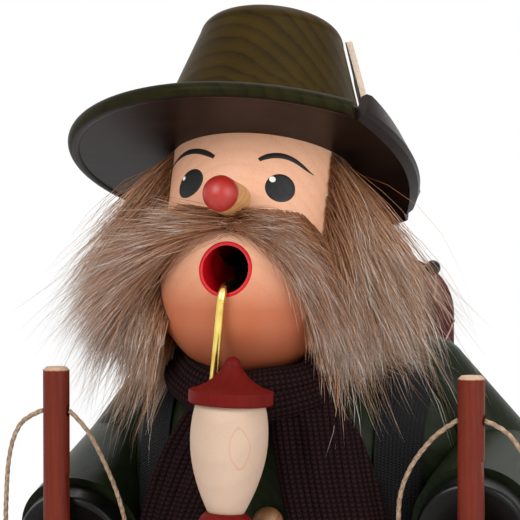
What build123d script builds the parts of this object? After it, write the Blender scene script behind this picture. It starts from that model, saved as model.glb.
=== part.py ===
"""German incense smoker: a turned wooden hiker with a hat, a pipe and two walking poles.

Millimetres. The figure faces -Y, +X is its own left hand, +Z is up.
The origin is the middle of the base plate's underside.
"""
from build123d import *
import os
from math import asin, cos, radians, sin, sqrt

# Base plate
BASE_WIDTH = 150.0
BASE_DEPTH = 112.0
BASE_THICK = 10.0
BASE_CORNER = 34.0
BASE_EDGE = 2.5

# Shoes, legs and hips
SHOE_LENGTH = 60.0
SHOE_RADIUS = 19.0
SHOE_HEEL_RADIUS = 15.0
SHOE_SPREAD = 20.0
SHOE_FORWARD = 10.0
ANKLE_RADIUS = 10.5
ANKLE_SOCKET = 7.0
TROUSER_RADIUS = 14.5
TROUSER_CUFF = 1.6
TROUSER_CUFF_HEIGHT = 5.0
TROUSER_FLARE = 1.0
LEG_TOP = 76.0
HIP_RADIUS = 39.0
HIP_ROUND = 6.0
SPIGOT_HEIGHT = 10.0

# Incense tray and its nail
TRAY_RADIUS = 14.0
TRAY_SHEET = 0.8
TRAY_LIP = 3.0
NAIL_RADIUS = 0.9
NAIL_HEAD_RADIUS = 2.2
NAIL_HEAD = 0.8
NAIL_LENGTH = 9.0

# Coat: a turned barrel whose side is one long arc and whose shoulder is a rounder one
TORSO_Y = 10.0
HEM_HEIGHT = 90.0
CHEST_RADIUS = 46.0
CHEST_HEIGHT = 145.0
SIDE_ARC = 420.0
SHOULDER_JOIN_HEIGHT = 180.0
SHOULDER_ARC = 30.0
COAT_WALL = 9.0
BUTTON_RADIUS = 4.0
BUTTON_X = 2.5
BUTTON_TOP = 165.0
BUTTON_PITCH = 26.0
BUTTON_COUNT = 3
BUTTON_PIN = 1.2
BUTTON_PIN_DEPTH = 4.0

# Head: a ball below, a cylinder above, thrown back on its neck
HEAD_X = -7.0
HEAD_FORWARD = 30.0
HEAD_HEIGHT = 224.6
HEAD_RADIUS = 24.2
HEAD_PITCH = 24.0
HEAD_TOP = 34.1
MOUTH_RADIUS = 6.2
MOUTH_SHIFT = -0.8
MOUTH_RISE = 6.2
MOUTH_DEPTH = 13.0
NECK_RADIUS = 7.0
NECK_BORE = 3.5
NECK_FOOT_BACK = 0.0
NECK_FOOT_HEIGHT = 191.6
NECK_IN_HEAD = 10.0
NECK_IN_COAT = 11.0
NOSE_RADIUS = 4.7
NOSE_LENGTH = 12.7
NOSE_DOME = 3.6
NOSE_HEIGHT = 15.2
NOSE_X = -0.6
NOSE_TURN = 7.6
NOSE_DIP = 9.3
NOSE_PIN = 2.5
NOSE_PIN_DEPTH = 7.0

# Hat
HAT_SHIFT = -1.0
BRIM_RADIUS = 51.3
BRIM_THICK = 3.4
BRIM_BEAD = 2.1
CROWN_BASE = 29.8
CROWN_TOP = 18.0
CROWN_HEIGHT = 37.0
CROWN_EDGE = 4.5
BAND_HEIGHT = 12.0
BAND_PROUD = 0.9
HAT_DOWEL_RADIUS = 5.0
HAT_DOWEL_LENGTH = 22.0
FLAP_CHORD = 33.0
FLAP_HALF_LENGTH = 33.5
FLAP_RIM_MIDDLE = 42.0
FLAP_RIM_END = 35.8
FLAP_CREST_MIDDLE = 38.8
FLAP_CREST_END = 37.0
FLAP_CREST_HEIGHT = 8.6
FLAP_CREST_END_HEIGHT = 7.2
FLAP_WALL = 2.8
FEATHER_LENGTH = 37.0
FEATHER_WIDTH = 8.0
FEATHER_THICK = 1.6
FEATHER_BACK_TURN = 14.0
FEATHER_FOOT = 0.5

# Hair, beard and scarf
HAIR_GAP = 0.3
HAIR_TOP_RADIUS = 31.0
HAIR_WIDE_RADIUS = 50.0
HAIR_TIP_RADIUS = 44.0
HAIR_WIDE_DROP = 16.0
HAIR_TIP_DROP = 38.0
HAIR_TIP_WIDTH = 8.0
HAIR_TIP_RISE = 2.0
HAIR_POLE_ROOM = 9.0
TEMPLE_ANGLE = 65.0
NAPE_ANGLE = 138.0
NAPE_RADIUS = 38.0
NAPE_DROP = 12.0
NAPE_TIP_IN = 4.0
NAPE_TIP_DROP = 6.0
MOUSTACHE_ANGLE = 62.0
MOUSTACHE_PROUD = 7.0
MOUSTACHE_LOW = 2.6
MOUSTACHE_HIGH = 10.0
SCARF_GAP = 0.3
SCARF_THICK = 3.2
SCARF_FOLD = 1.1
SCARF_FOLDS = 3
WRAP_RADIUS = 19.5
WRAP_LOBE = 4.2
WRAP_TILT = 18.0
WRAP_BACK = 7.0
WRAP_DROP = 1.5

# Arms
SHOULDER_X = 34.5
SHOULDER_BACK = 4.0
SHOULDER_HEIGHT = 199.0
SHOULDER_RADIUS = 11.0
ELBOW_X = 51.0
ELBOW_BACK = 12.0
ELBOW_HEIGHT = 174.0
ELBOW_RADIUS = 14.0
WRIST_X = 54.0
WRIST_FORWARD = 37.0
WRIST_HEIGHT = {"left": 161.0, "right": 155.0}
SLEEVE_END_RADIUS = 16.8
CUFF_RADIUS = 15.0
CUFF_LENGTH = 8.0
CUFF_EDGE = 1.6
ARM_GAP = 0.25
ARM_DOWEL_RADIUS = 3.0
ARM_DOWEL_DROP = 7.0
ARM_DOWEL_IN_COAT = 6.0
ARM_DOWEL_IN_SLEEVE = 8.0
MITTEN_RADIUS = 12.5
MITTEN_DROP = 7.0

# Poles and their twine wrist loops
POLE_X = 55.5
POLE_FORWARD = 45.5
POLE_RADIUS = 3.5
POLE_TOP = 204.0
POLE_CHAMFER = 0.8
POLE_HOLE_RADIUS = 1.6
POLE_HOLE_DROP = 11.5
POLE_NOTCH_RADIUS = 2.5
POLE_NOTCH_DEPTH = 0.9
POLE_FACET_LENGTH = 14.0
POLE_FACET_SLANT = 2.5
FOOT_GAP = 0.3
TWINE_RADIUS = 0.75

# Pipe
PIPE_X = -5.1
PIPE_LEAN = 2.6
PIPE_FORWARD = 62.5
BOWL_BOTTOM = 169.0
BOWL_LENGTH = 28.0
BOWL_RADIUS = 10.0
BOWL_WIDEST = 19.0
BOWL_FOOT_RADIUS = 4.7
BOWL_TOP_RADIUS = 8.9
BOWL_BORE = 6.0
BOWL_BORE_DEPTH = 19.0
LID_RADIUS = 10.9
LID_RIM = 3.5
LID_HEIGHT = 12.2
LID_TIP = 2.2
LID_SPIGOT = 3.0
FOOT_RADIUS = 7.2
FOOT_HEIGHT = 9.0
STEM_RADIUS = 1.15
STEM_BEND = 3.4
STEM_SEAT = 3.0
STEM_SIDE = 0.6
STEM_SEAT_RISE = 2.4
STEM_LIP_RISE = 1.6
STEM_LIP_FORWARD = 2.6
STEM_CORNER_SIDE = 7.5
STEM_CORNER_BACK = 12.0
STEM_CORNER_RISE = 20.5
STEM_END_SIDE = 2.5
STEM_END_BACK = 4.8
STEM_END_RISE = 19.5

# Pack and straps
PACK_HALF_WIDTH = 30.0
PACK_TOP = 228.0
PACK_HEIGHT = 66.0
PACK_CORNER = 16.0
PACK_FRONT = 34.0
PACK_BACK = 64.0
PACK_EDGE = 5.0
KNOB_RADIUS = 2.15
KNOB_PIN = 0.8
KNOB_ANGLE = 48.0
KNOB_BACK = 48.0
STRAP_INNER = 27.5
STRAP_WIDTH = 10.5
STRAP_GAP = 0.3
STRAP_THICK = 1.5
STRAP_TURN_HEIGHT = 146.0

# Fits
GLUE_GAP = 0.1
SEAT_GAP = 0.2
SLIP_GAP = 0.4

SIDES = {"left": 1.0, "right": -1.0}
FAR = 400.0
torso_at = Pos(0, TORSO_Y, 0)


def turned(outline):
    """A solid turned about Z from a closed outline drawn as radius and height."""
    return revolve(Plane.XZ * make_face(outline), Axis.Z)


def rod(start, end, start_radius, end_radius=None):
    """A straight or tapered rod between two points."""
    run = Vector(*end) - Vector(*start)
    place = Plane(origin=start, z_dir=run)
    align = (Align.CENTER, Align.CENTER, Align.MIN)
    if end_radius is None or end_radius == start_radius:
        return place * Cylinder(start_radius, run.length, align=align)
    return place * Cone(start_radius, end_radius, run.length, align=align)


def dome(radius, base, rise):
    """Arc of a round cap from its edge up to the axis."""
    ball = (radius ** 2 + rise ** 2) / (2 * rise)
    middle = base + rise - ball
    turn = asin(min(1.0, radius / ball)) / 2
    return ThreePointArc((radius, base), (ball * sin(turn), middle + ball * cos(turn)), (0, base + rise))


def slab(low, high):
    """A block between two corners."""
    low, high = Vector(*low), Vector(*high)
    size = high - low
    middle = (low + high) * 0.5
    return Pos(middle.X, middle.Y, middle.Z) * Box(size.X, size.Y, size.Z)


def polar(angle, radius, height):
    """A point around the torso, with the angle in degrees from the figure's front towards its left."""
    turn = radians(angle)
    return Vector(radius * sin(turn), TORSO_Y - radius * cos(turn), height)


# Coat outline
side_middle = CHEST_RADIUS - SIDE_ARC
join_turn = asin((SHOULDER_JOIN_HEIGHT - CHEST_HEIGHT) / SIDE_ARC)
shoulder_radius_at_join = side_middle + SIDE_ARC * cos(join_turn)
round_middle = shoulder_radius_at_join - SHOULDER_ARC * cos(join_turn)
round_height = SHOULDER_JOIN_HEIGHT - SHOULDER_ARC * sin(join_turn)
COAT_TOP = round_height + SHOULDER_ARC


def coat_radius(height, shift=0.0):
    """The coat's radius at a height, on a skin that lies shift outside the real one."""
    join_height = CHEST_HEIGHT + (SIDE_ARC + shift) * sin(join_turn)
    if height <= join_height:
        return side_middle + sqrt((SIDE_ARC + shift) ** 2 - (height - CHEST_HEIGHT) ** 2)
    return round_middle + sqrt((SHOULDER_ARC + shift) ** 2 - (height - round_height) ** 2)


def coat_form(shift, foot):
    """The coat's full form, grown by shift and cut off at the height foot."""
    side, bend = SIDE_ARC + shift, SHOULDER_ARC + shift
    join = (side_middle + side * cos(join_turn), CHEST_HEIGHT + side * sin(join_turn))
    middle_turn = (join_turn + radians(90)) / 2
    halfway = (foot + join[1]) / 2
    top = round_height + bend
    start = (coat_radius(foot, shift), foot)
    outline = ThreePointArc(start, (coat_radius(halfway, shift), halfway), join)
    over = (round_middle + bend * cos(middle_turn), round_height + bend * sin(middle_turn))
    outline += ThreePointArc(join, over, (round_middle, top))
    outline += Polyline((round_middle, top), (0, top), (0, foot), start)
    return torso_at * turned(outline)


# Head frame and the line of the neck
head_middle = Vector(HEAD_X, TORSO_Y - HEAD_FORWARD, HEAD_HEIGHT)
head_frame = Plane(origin=head_middle, x_dir=(1, 0, 0),
                   z_dir=(0, sin(radians(HEAD_PITCH)), cos(radians(HEAD_PITCH))))
neck_foot = Vector(0, TORSO_Y + NECK_FOOT_BACK, NECK_FOOT_HEIGHT)
neck_way = (neck_foot - head_middle).normalized()
mouth_middle = head_middle + Vector(MOUTH_SHIFT, 0, MOUTH_RISE)
mouth_floor = mouth_middle + Vector(0, MOUTH_DEPTH - sqrt(HEAD_RADIUS ** 2 - MOUTH_RISE ** 2), 0)


def head_form(shift):
    """The head's outside, a ball under a cylinder, grown by shift."""
    ball = HEAD_RADIUS + shift
    outline = Polyline((0, -ball), (0, HEAD_TOP), (ball, HEAD_TOP), (ball, 0))
    outline += ThreePointArc((ball, 0), (ball * sin(radians(45)), -ball * cos(radians(45))), (0, -ball))
    return head_frame * turned(outline)


def neck_point(along):
    """A point on the neck's line, measured from the middle of the head's ball."""
    return head_middle + neck_way * along


neck_top = HEAD_RADIUS - NECK_IN_HEAD
neck_low = HEAD_RADIUS + NECK_IN_COAT
hat_frame = head_frame * Plane(origin=(HAT_SHIFT, 0, 0))
nose_turn, nose_dip = radians(NOSE_TURN), radians(NOSE_DIP)
nose_frame = head_frame * Plane(origin=(NOSE_X, -HEAD_RADIUS, NOSE_HEIGHT),
                                x_dir=(cos(nose_turn), -sin(nose_turn), 0),
                                z_dir=(-sin(nose_turn) * cos(nose_dip), -cos(nose_turn) * cos(nose_dip),
                                       -sin(nose_dip)))
pipe_middle = Vector(PIPE_X, TORSO_Y - PIPE_FORWARD, BOWL_BOTTOM)
pipe_frame = Plane(origin=pipe_middle, x_dir=(cos(radians(PIPE_LEAN)), 0, -sin(radians(PIPE_LEAN))),
                   z_dir=(sin(radians(PIPE_LEAN)), 0, cos(radians(PIPE_LEAN))))

# Stem route: seated in the mouth's floor, out over the lip, down behind the lid, into the bowl
stem_route = [
    (HEAD_X - STEM_SIDE, mouth_floor.Y + STEM_SEAT - GLUE_GAP, HEAD_HEIGHT + STEM_SEAT_RISE),
    (HEAD_X - STEM_SIDE, head_middle.Y - HEAD_RADIUS - STEM_LIP_FORWARD, HEAD_HEIGHT + STEM_LIP_RISE),
    (PIPE_X - STEM_CORNER_SIDE, pipe_middle.Y + STEM_CORNER_BACK, BOWL_BOTTOM + STEM_CORNER_RISE),
    (PIPE_X - STEM_END_SIDE, pipe_middle.Y + STEM_END_BACK, BOWL_BOTTOM + STEM_END_RISE),
]

# Stand
spigot_radius = coat_radius(HEM_HEIGHT, -COAT_WALL) - SLIP_GAP
hip_top = HEM_HEIGHT - SEAT_GAP
spigot_top = HEM_HEIGHT + SPIGOT_HEIGHT
leg_foot = BASE_THICK + SHOE_RADIUS - ANKLE_SOCKET


def make_base_plate():
    """Sawn plate with round corners and a softened top edge."""
    outline = RectangleRounded(BASE_WIDTH, BASE_DEPTH, BASE_CORNER)
    plate = extrude(outline, BASE_THICK)
    return fillet(plate.edges().group_by(Axis.Z)[-1], BASE_EDGE)


def make_shoe(side):
    """Half of a turned egg, flat side down, with a socket for the ankle."""
    toe, heel = -SHOE_LENGTH / 2, SHOE_LENGTH / 2
    lift = sin(radians(45))
    outline = ThreePointArc((0, toe), (SHOE_RADIUS * lift, toe + SHOE_RADIUS * (1 - lift)),
                            (SHOE_RADIUS, toe + SHOE_RADIUS))
    outline += Line((SHOE_RADIUS, toe + SHOE_RADIUS), (SHOE_HEEL_RADIUS, heel - SHOE_HEEL_RADIUS))
    outline += ThreePointArc((SHOE_HEEL_RADIUS, heel - SHOE_HEEL_RADIUS),
                             (SHOE_HEEL_RADIUS * lift, heel - SHOE_HEEL_RADIUS * (1 - lift)), (0, heel))
    outline += Line((0, heel), (0, toe))
    egg = revolve(make_face(outline), Axis.Y)
    place = Pos(side * SHOE_SPREAD, TORSO_Y - SHOE_FORWARD, BASE_THICK)
    shoe = place * (egg & slab((-FAR, -FAR, 0), (FAR, FAR, FAR)))
    socket = rod((side * SHOE_SPREAD, TORSO_Y, leg_foot), (side * SHOE_SPREAD, TORSO_Y, LEG_TOP),
                 ANKLE_RADIUS + GLUE_GAP)
    return shoe - socket


def make_leg(side):
    """Turned trouser leg with a raised cuff, standing in the shoe and under the hips."""
    cuff_low = BASE_THICK + SHOE_RADIUS + GLUE_GAP
    cuff_high = cuff_low + TROUSER_CUFF_HEIGHT
    outline = Polyline((0, leg_foot), (ANKLE_RADIUS, leg_foot), (ANKLE_RADIUS, cuff_low),
                       (TROUSER_RADIUS, cuff_low))
    outline += ThreePointArc((TROUSER_RADIUS, cuff_low),
                             (TROUSER_RADIUS + TROUSER_CUFF, (cuff_low + cuff_high) / 2),
                             (TROUSER_RADIUS, cuff_high))
    outline += Polyline((TROUSER_RADIUS, cuff_high), (TROUSER_RADIUS + TROUSER_FLARE, LEG_TOP),
                        (0, LEG_TOP), (0, leg_foot))
    return Pos(side * SHOE_SPREAD, TORSO_Y, 0) * turned(outline)


def make_hips():
    """Turned block under the coat, with the spigot that the coat drops over."""
    bend = sin(radians(45))
    outline = Polyline((0, LEG_TOP), (HIP_RADIUS - HIP_ROUND, LEG_TOP))
    outline += ThreePointArc((HIP_RADIUS - HIP_ROUND, LEG_TOP),
                             (HIP_RADIUS - HIP_ROUND * (1 - bend), LEG_TOP + HIP_ROUND * (1 - bend)),
                             (HIP_RADIUS, LEG_TOP + HIP_ROUND))
    outline += Polyline((HIP_RADIUS, LEG_TOP + HIP_ROUND), (HIP_RADIUS, hip_top), (spigot_radius, hip_top),
                        (spigot_radius, spigot_top), (0, spigot_top), (0, LEG_TOP))
    hole = rod((0, TORSO_Y, spigot_top - NAIL_LENGTH), (0, TORSO_Y, spigot_top), NAIL_RADIUS + GLUE_GAP)
    return torso_at * turned(outline) - hole


def make_tray():
    """Pressed sheet dish that the incense cone stands in."""
    rim = TRAY_RADIUS - TRAY_SHEET
    top = spigot_top + TRAY_LIP
    floor = spigot_top + TRAY_SHEET
    hole = NAIL_RADIUS + GLUE_GAP
    outline = Polyline((hole, spigot_top), (TRAY_RADIUS, spigot_top), (TRAY_RADIUS, top), (rim, top),
                       (rim, floor), (hole, floor), (hole, spigot_top))
    return torso_at * turned(outline)


def make_nail():
    """Round-headed nail through the tray."""
    floor = spigot_top + TRAY_SHEET
    foot = floor - NAIL_LENGTH + GLUE_GAP
    outline = Polyline((0, foot), (NAIL_RADIUS, foot + NAIL_RADIUS), (NAIL_RADIUS, floor),
                       (NAIL_HEAD_RADIUS, floor))
    outline += dome(NAIL_HEAD_RADIUS, floor, NAIL_HEAD)
    outline += Line((0, floor + NAIL_HEAD), (0, foot))
    return torso_at * turned(outline)


# Coat and what sits on it
button_heights = [BUTTON_TOP - BUTTON_PITCH * step for step in range(BUTTON_COUNT)]


def button_seat(height):
    """The point on the coat's front under a button."""
    radius = coat_radius(height)
    return Vector(BUTTON_X, TORSO_Y - sqrt(radius ** 2 - BUTTON_X ** 2), height)


def arm_dowel_ends(side):
    """Both ends of the dowel that carries a sleeve, which crosses the coat's wall at the shoulder."""
    height = SHOULDER_HEIGHT - ARM_DOWEL_DROP
    depth = TORSO_Y + SHOULDER_BACK
    face = sqrt(coat_radius(height) ** 2 - SHOULDER_BACK ** 2)
    inner = (side * (face - ARM_DOWEL_IN_COAT), depth, height)
    outer = (side * (face + ARM_DOWEL_IN_SLEEVE), depth, height)
    return inner, outer


def make_coat():
    """Hollow turned body: the smoke chamber, with its neck bore, dowel holes and button holes."""
    coat = coat_form(0, HEM_HEIGHT) - coat_form(-COAT_WALL, HEM_HEIGHT - 1)
    coat -= head_form(SEAT_GAP)
    coat -= rod(neck_point(neck_top), neck_point(neck_low + GLUE_GAP), NECK_RADIUS + GLUE_GAP)
    coat -= rod(neck_point(neck_top), neck_point(neck_low + COAT_WALL), NECK_BORE)
    for side in SIDES.values():
        coat -= rod(*arm_dowel_ends(side), ARM_DOWEL_RADIUS + GLUE_GAP)
    for height in button_heights:
        seat = button_seat(height)
        mouth = seat - Vector(0, BUTTON_RADIUS, 0)
        coat -= rod(mouth, seat + Vector(0, BUTTON_PIN_DEPTH + GLUE_GAP, 0), BUTTON_PIN + GLUE_GAP)
    return coat


def make_buttons():
    """Wooden balls on pins down the coat's front."""
    balls = []
    for height in button_heights:
        seat = button_seat(height)
        middle = seat - Vector(0, BUTTON_RADIUS * 0.72, 0)
        ball = Pos(middle.X, middle.Y, middle.Z) * Sphere(BUTTON_RADIUS)
        ball -= coat_form(GLUE_GAP, HEM_HEIGHT)
        balls.append(ball + rod(middle, seat + Vector(0, BUTTON_PIN_DEPTH, 0), BUTTON_PIN))
    return Compound(children=[ball.solid() for ball in balls])


def make_neck():
    """Short bored dowel that carries the head and leads the smoke up."""
    tube = rod(neck_point(neck_top), neck_point(neck_low), NECK_RADIUS)
    return tube - rod(neck_point(neck_top - 1), neck_point(neck_low + 1), NECK_BORE)


def make_head():
    """Turned head with the mouth bore, the smoke bore and the sockets for neck, nose, hat and stem."""
    head = head_form(0)
    front = mouth_middle - Vector(0, 2 * HEAD_RADIUS, 0)
    head -= rod(front, mouth_floor, MOUTH_RADIUS)
    reach = (head_middle.Y - mouth_floor.Y) / neck_way.Y
    head -= rod(neck_point(-reach - NECK_BORE), neck_point(HEAD_RADIUS), NECK_BORE)
    head -= rod(neck_point(neck_top - GLUE_GAP), neck_point(HEAD_RADIUS + NECK_RADIUS),
                NECK_RADIUS + GLUE_GAP)
    head -= nose_frame * rod((0, 0, -NOSE_PIN_DEPTH - GLUE_GAP), (0, 0, 1), NOSE_PIN + GLUE_GAP)
    head -= hat_frame * rod((0, 0, HEAD_TOP - HAT_DOWEL_LENGTH / 2 - GLUE_GAP), (0, 0, HEAD_TOP),
                            HAT_DOWEL_RADIUS + GLUE_GAP)
    seat = Vector(*stem_route[0])
    return head - rod(seat + Vector(0, GLUE_GAP, 0), seat - Vector(0, MOUTH_DEPTH, 0), STEM_RADIUS + GLUE_GAP)


def make_nose():
    """Round peg nose with a domed end, on a pin."""
    shoulder = NOSE_LENGTH - NOSE_DOME
    outline = Polyline((0, -NOSE_RADIUS), (NOSE_RADIUS, -NOSE_RADIUS), (NOSE_RADIUS, shoulder))
    outline += dome(NOSE_RADIUS, shoulder, NOSE_DOME)
    outline += Line((0, NOSE_LENGTH), (0, -NOSE_RADIUS))
    body = nose_frame * turned(outline) - head_form(GLUE_GAP)
    return body + nose_frame * rod((0, 0, -NOSE_PIN_DEPTH), (0, 0, NOSE_DOME), NOSE_PIN)


# Hat, in the head's own frame
brim_top = HEAD_TOP + BRIM_THICK
crown_tip = brim_top + CROWN_HEIGHT
hat_dowel_top = HEAD_TOP + HAT_DOWEL_LENGTH / 2


def make_hat_brim():
    """Turned disc with a beaded rim, sawn off straight where the turned-up flap joins it."""
    ring = BRIM_RADIUS - BRIM_BEAD
    face = Pos(ring / 2, HEAD_TOP + BRIM_THICK / 2) * Rectangle(ring, BRIM_THICK)
    face += Pos(ring, HEAD_TOP + BRIM_THICK / 2) * Circle(BRIM_BEAD)
    brim = revolve(Plane.XZ * face, Axis.Z)
    brim -= slab((FLAP_CHORD, -FAR, -FAR), (FAR, FAR, FAR))
    brim -= rod((0, 0, 0), (0, 0, crown_tip), HAT_DOWEL_RADIUS + GLUE_GAP)
    return hat_frame * brim


def crown_radius(rise):
    """The crown's radius at a rise above the brim, without its band."""
    return CROWN_BASE + (CROWN_TOP - CROWN_BASE) * rise / CROWN_HEIGHT


def make_hat_crown():
    """Turned crown with a raised band round its foot and a rounded top edge."""
    band_top = brim_top + BAND_HEIGHT
    edge = crown_tip - CROWN_EDGE
    side = crown_radius(CROWN_HEIGHT - CROWN_EDGE)
    outline = Polyline((0, brim_top), (CROWN_BASE + BAND_PROUD, brim_top),
                       (crown_radius(BAND_HEIGHT) + BAND_PROUD, band_top),
                       (crown_radius(BAND_HEIGHT), band_top), (side, edge))
    outline += ThreePointArc((side, edge), (side - CROWN_EDGE * 0.38, crown_tip - CROWN_EDGE * 0.26),
                             (side - CROWN_EDGE * 1.2, crown_tip))
    outline += Polyline((side - CROWN_EDGE * 1.2, crown_tip), (0, crown_tip), (0, brim_top))
    crown = turned(outline) - rod((0, 0, 0), (0, 0, hat_dowel_top + GLUE_GAP), HAT_DOWEL_RADIUS + GLUE_GAP)
    return hat_frame * crown


def make_hat_dowel():
    """Dowel that pins the hat to the flat top of the head."""
    low = HEAD_TOP - HAT_DOWEL_LENGTH / 2
    return hat_frame * rod((0, 0, low), (0, 0, hat_dowel_top), HAT_DOWEL_RADIUS)


def flap_section(along, rim, crest, crest_height):
    """One J-shaped slice of the flap, square to the hat's front-back line."""
    low, high = HEAD_TOP, HEAD_TOP + crest_height
    heel = max(FLAP_CHORD + 0.8, rim - 2.6)
    inner = max(FLAP_CHORD + 0.6, rim - FLAP_WALL - 0.6)
    corner = (rim - 0.4, low + 1.4)
    points = [(FLAP_CHORD, low), (heel, low), corner, (rim, low + 3.0), (crest, high - 0.5),
              (crest - FLAP_WALL / 2, high), (crest - FLAP_WALL, high - 0.7), (inner, brim_top + 0.4),
              (FLAP_CHORD, brim_top)]
    wire = Polyline(*points, close=True)
    return Plane(origin=(0, along, 0), x_dir=(1, 0, 0), z_dir=(0, -1, 0)) * make_face(wire)


def make_hat_flap():
    """Turned-up side of the brim, glued along the straight joint."""
    sections = []
    for share in (-1.0, -0.55, 0.0, 0.55, 1.0):
        bow = 1 - share ** 2
        rim = FLAP_RIM_END + (FLAP_RIM_MIDDLE - FLAP_RIM_END) * bow
        crest = FLAP_CREST_END + (FLAP_CREST_MIDDLE - FLAP_CREST_END) * bow
        height = FLAP_CREST_END_HEIGHT + (FLAP_CREST_HEIGHT - FLAP_CREST_END_HEIGHT) * bow
        sections.append(flap_section(share * FLAP_HALF_LENGTH, rim, crest, height))
    return hat_frame * loft(sections)


def make_hat_feather():
    """Thin wooden feather with a notched edge, leaning on the crown between band and flap."""
    half = FEATHER_WIDTH / 2
    outline = Polyline((-half * 0.35, 0), (half * 0.35, 0), (half, FEATHER_LENGTH * 0.35),
                       (half * 0.95, FEATHER_LENGTH * 0.68), (half * 0.6, FEATHER_LENGTH * 0.72),
                       (half * 0.5, FEATHER_LENGTH), (-half * 0.2, FEATHER_LENGTH * 0.97),
                       (-half * 0.9, FEATHER_LENGTH * 0.6), (-half, FEATHER_LENGTH * 0.3), close=True)
    blade = extrude(make_face(outline), FEATHER_THICK)
    turn = radians(FEATHER_BACK_TURN)
    lean = (CROWN_BASE - CROWN_TOP) / CROWN_HEIGHT
    out = Vector(cos(turn), sin(turn), 0)
    foot = out * (CROWN_BASE + BAND_PROUD + GLUE_GAP) + Vector(0, 0, brim_top + FEATHER_FOOT)
    along = Vector(-sin(turn), cos(turn), 0)
    face_out = out + Vector(0, 0, lean)
    return hat_frame * (Plane(origin=foot, x_dir=along, z_dir=face_out) * blade)


# Hair and beard: plain closed solids of the fur's size and place
under_brim = head_frame * slab((-FAR, -FAR, HEAD_TOP - HAIR_GAP), (FAR, FAR, FAR))


def sector(start, end):
    """An upright wedge around the head's ball, with angles in degrees from the face's front."""
    points = [(0.0, 0.0)]
    steps = 3
    for step in range(steps + 1):
        turn = radians(start + (end - start) * step / steps)
        points.append((FAR * sin(turn), -FAR * cos(turn)))
    wedge = extrude(make_face(Polyline(*points, close=True)), FAR)
    return Pos(head_middle.X, head_middle.Y, 0) * wedge


def hair_ring(top_radius, wide_radius, tip_radius, wide_drop, tip_drop):
    """A ring of hanging hair about an upright line through the head's ball."""
    top = HEAD_HEIGHT + HEAD_TOP + HEAD_RADIUS * sin(radians(HEAD_PITCH))
    wide, tip = HEAD_HEIGHT - wide_drop, HEAD_HEIGHT - tip_drop
    inner = HEAD_RADIUS + HAIR_GAP
    shoulder = HEAD_HEIGHT + HEAD_TOP * 0.6
    outline = Polyline((inner * 0.3, top), (top_radius * 0.8, top), (top_radius, shoulder))
    halfway = ((top_radius + wide_radius) * 0.525, (shoulder + wide) / 2 + HAIR_TIP_RISE)
    outline += ThreePointArc((top_radius, shoulder), halfway, (wide_radius, wide))
    outline += Polyline((wide_radius, wide), (tip_radius, tip),
                        (tip_radius - HAIR_TIP_WIDTH, tip + HAIR_TIP_RISE), (inner, wide),
                        (inner, HEAD_HEIGHT), (inner * 0.3, top))
    return Pos(head_middle.X, head_middle.Y, 0) * turned(outline)


def clear_of_head(block):
    """Cuts away what would lie in the head or above the brim's underside."""
    return block - head_form(HAIR_GAP) - under_brim


def largest(block):
    """The biggest solid of a cut block."""
    return sorted(block.solids(), key=lambda solid: solid.volume)[-1]


def make_side_hair(side, keep_clear):
    """Hair of one side, from the temple round to the nape, hanging over the shoulder."""
    ring = hair_ring(HAIR_TOP_RADIUS, HAIR_WIDE_RADIUS, HAIR_TIP_RADIUS, HAIR_WIDE_DROP, HAIR_TIP_DROP)
    start, end = side * TEMPLE_ANGLE, side * NAPE_ANGLE
    hair = clear_of_head(ring & sector(min(start, end), max(start, end)))
    for block in keep_clear:
        hair -= block
    return largest(hair)


def make_back_hair(keep_clear):
    """Shorter hair at the back of the head."""
    split = 1.0
    ring = hair_ring(HAIR_TOP_RADIUS, NAPE_RADIUS, NAPE_RADIUS - NAPE_TIP_IN, NAPE_DROP,
                     NAPE_DROP + NAPE_TIP_DROP)
    hair = clear_of_head(ring & sector(NAPE_ANGLE + split, 360 - NAPE_ANGLE - split))
    for block in keep_clear:
        hair -= block
    return largest(hair)


def make_moustache():
    """Strip of fur under the nose that sweeps round both cheeks."""
    inner, outer = HEAD_RADIUS + HAIR_GAP, HEAD_RADIUS + MOUSTACHE_PROUD
    low, high = MOUSTACHE_LOW, MOUSTACHE_HIGH
    outline = Polyline((inner, low), (inner, high), (inner + 1.5, high))
    outline += ThreePointArc((inner + 1.5, high), (outer - 1.0, (low + high) / 2 + 1), (outer, low - 3))
    outline += Line((outer, low - 3), (inner, low))
    strip = revolve(Plane.XZ * make_face(outline), Axis.Z, 2 * MOUSTACHE_ANGLE)
    strip = Rot(0, 0, -90 - MOUSTACHE_ANGLE) * strip
    strip = head_frame * strip
    strip -= nose_frame * rod((0, 0, -NOSE_RADIUS), (0, 0, NOSE_LENGTH * 2), NOSE_RADIUS + HAIR_GAP)
    lip = mouth_middle - Vector(0, 2 * HEAD_RADIUS, 0)
    strip -= rod(lip, mouth_floor, MOUTH_RADIUS + HAIR_GAP)
    return largest(strip - head_form(HAIR_GAP))


# Scarf: two hanging ends with their long folds, and the wrap round the neck
scarf_ends = {
    "left": [(197.0, 0.0, 27.0), (189.0, 3.0, 33.0), (175.0, 6.0, 39.0), (160.0, 10.0, 44.0),
             (143.0, 14.0, 48.0), (126.0, 17.0, 50.0)],
    "right": [(196.0, -30.0, -8.0), (190.0, -33.0, -11.0), (176.0, -41.0, -17.0), (161.0, -49.0, -23.0),
              (145.0, -54.0, -27.0), (130.0, -57.0, -29.0)],
}


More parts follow.
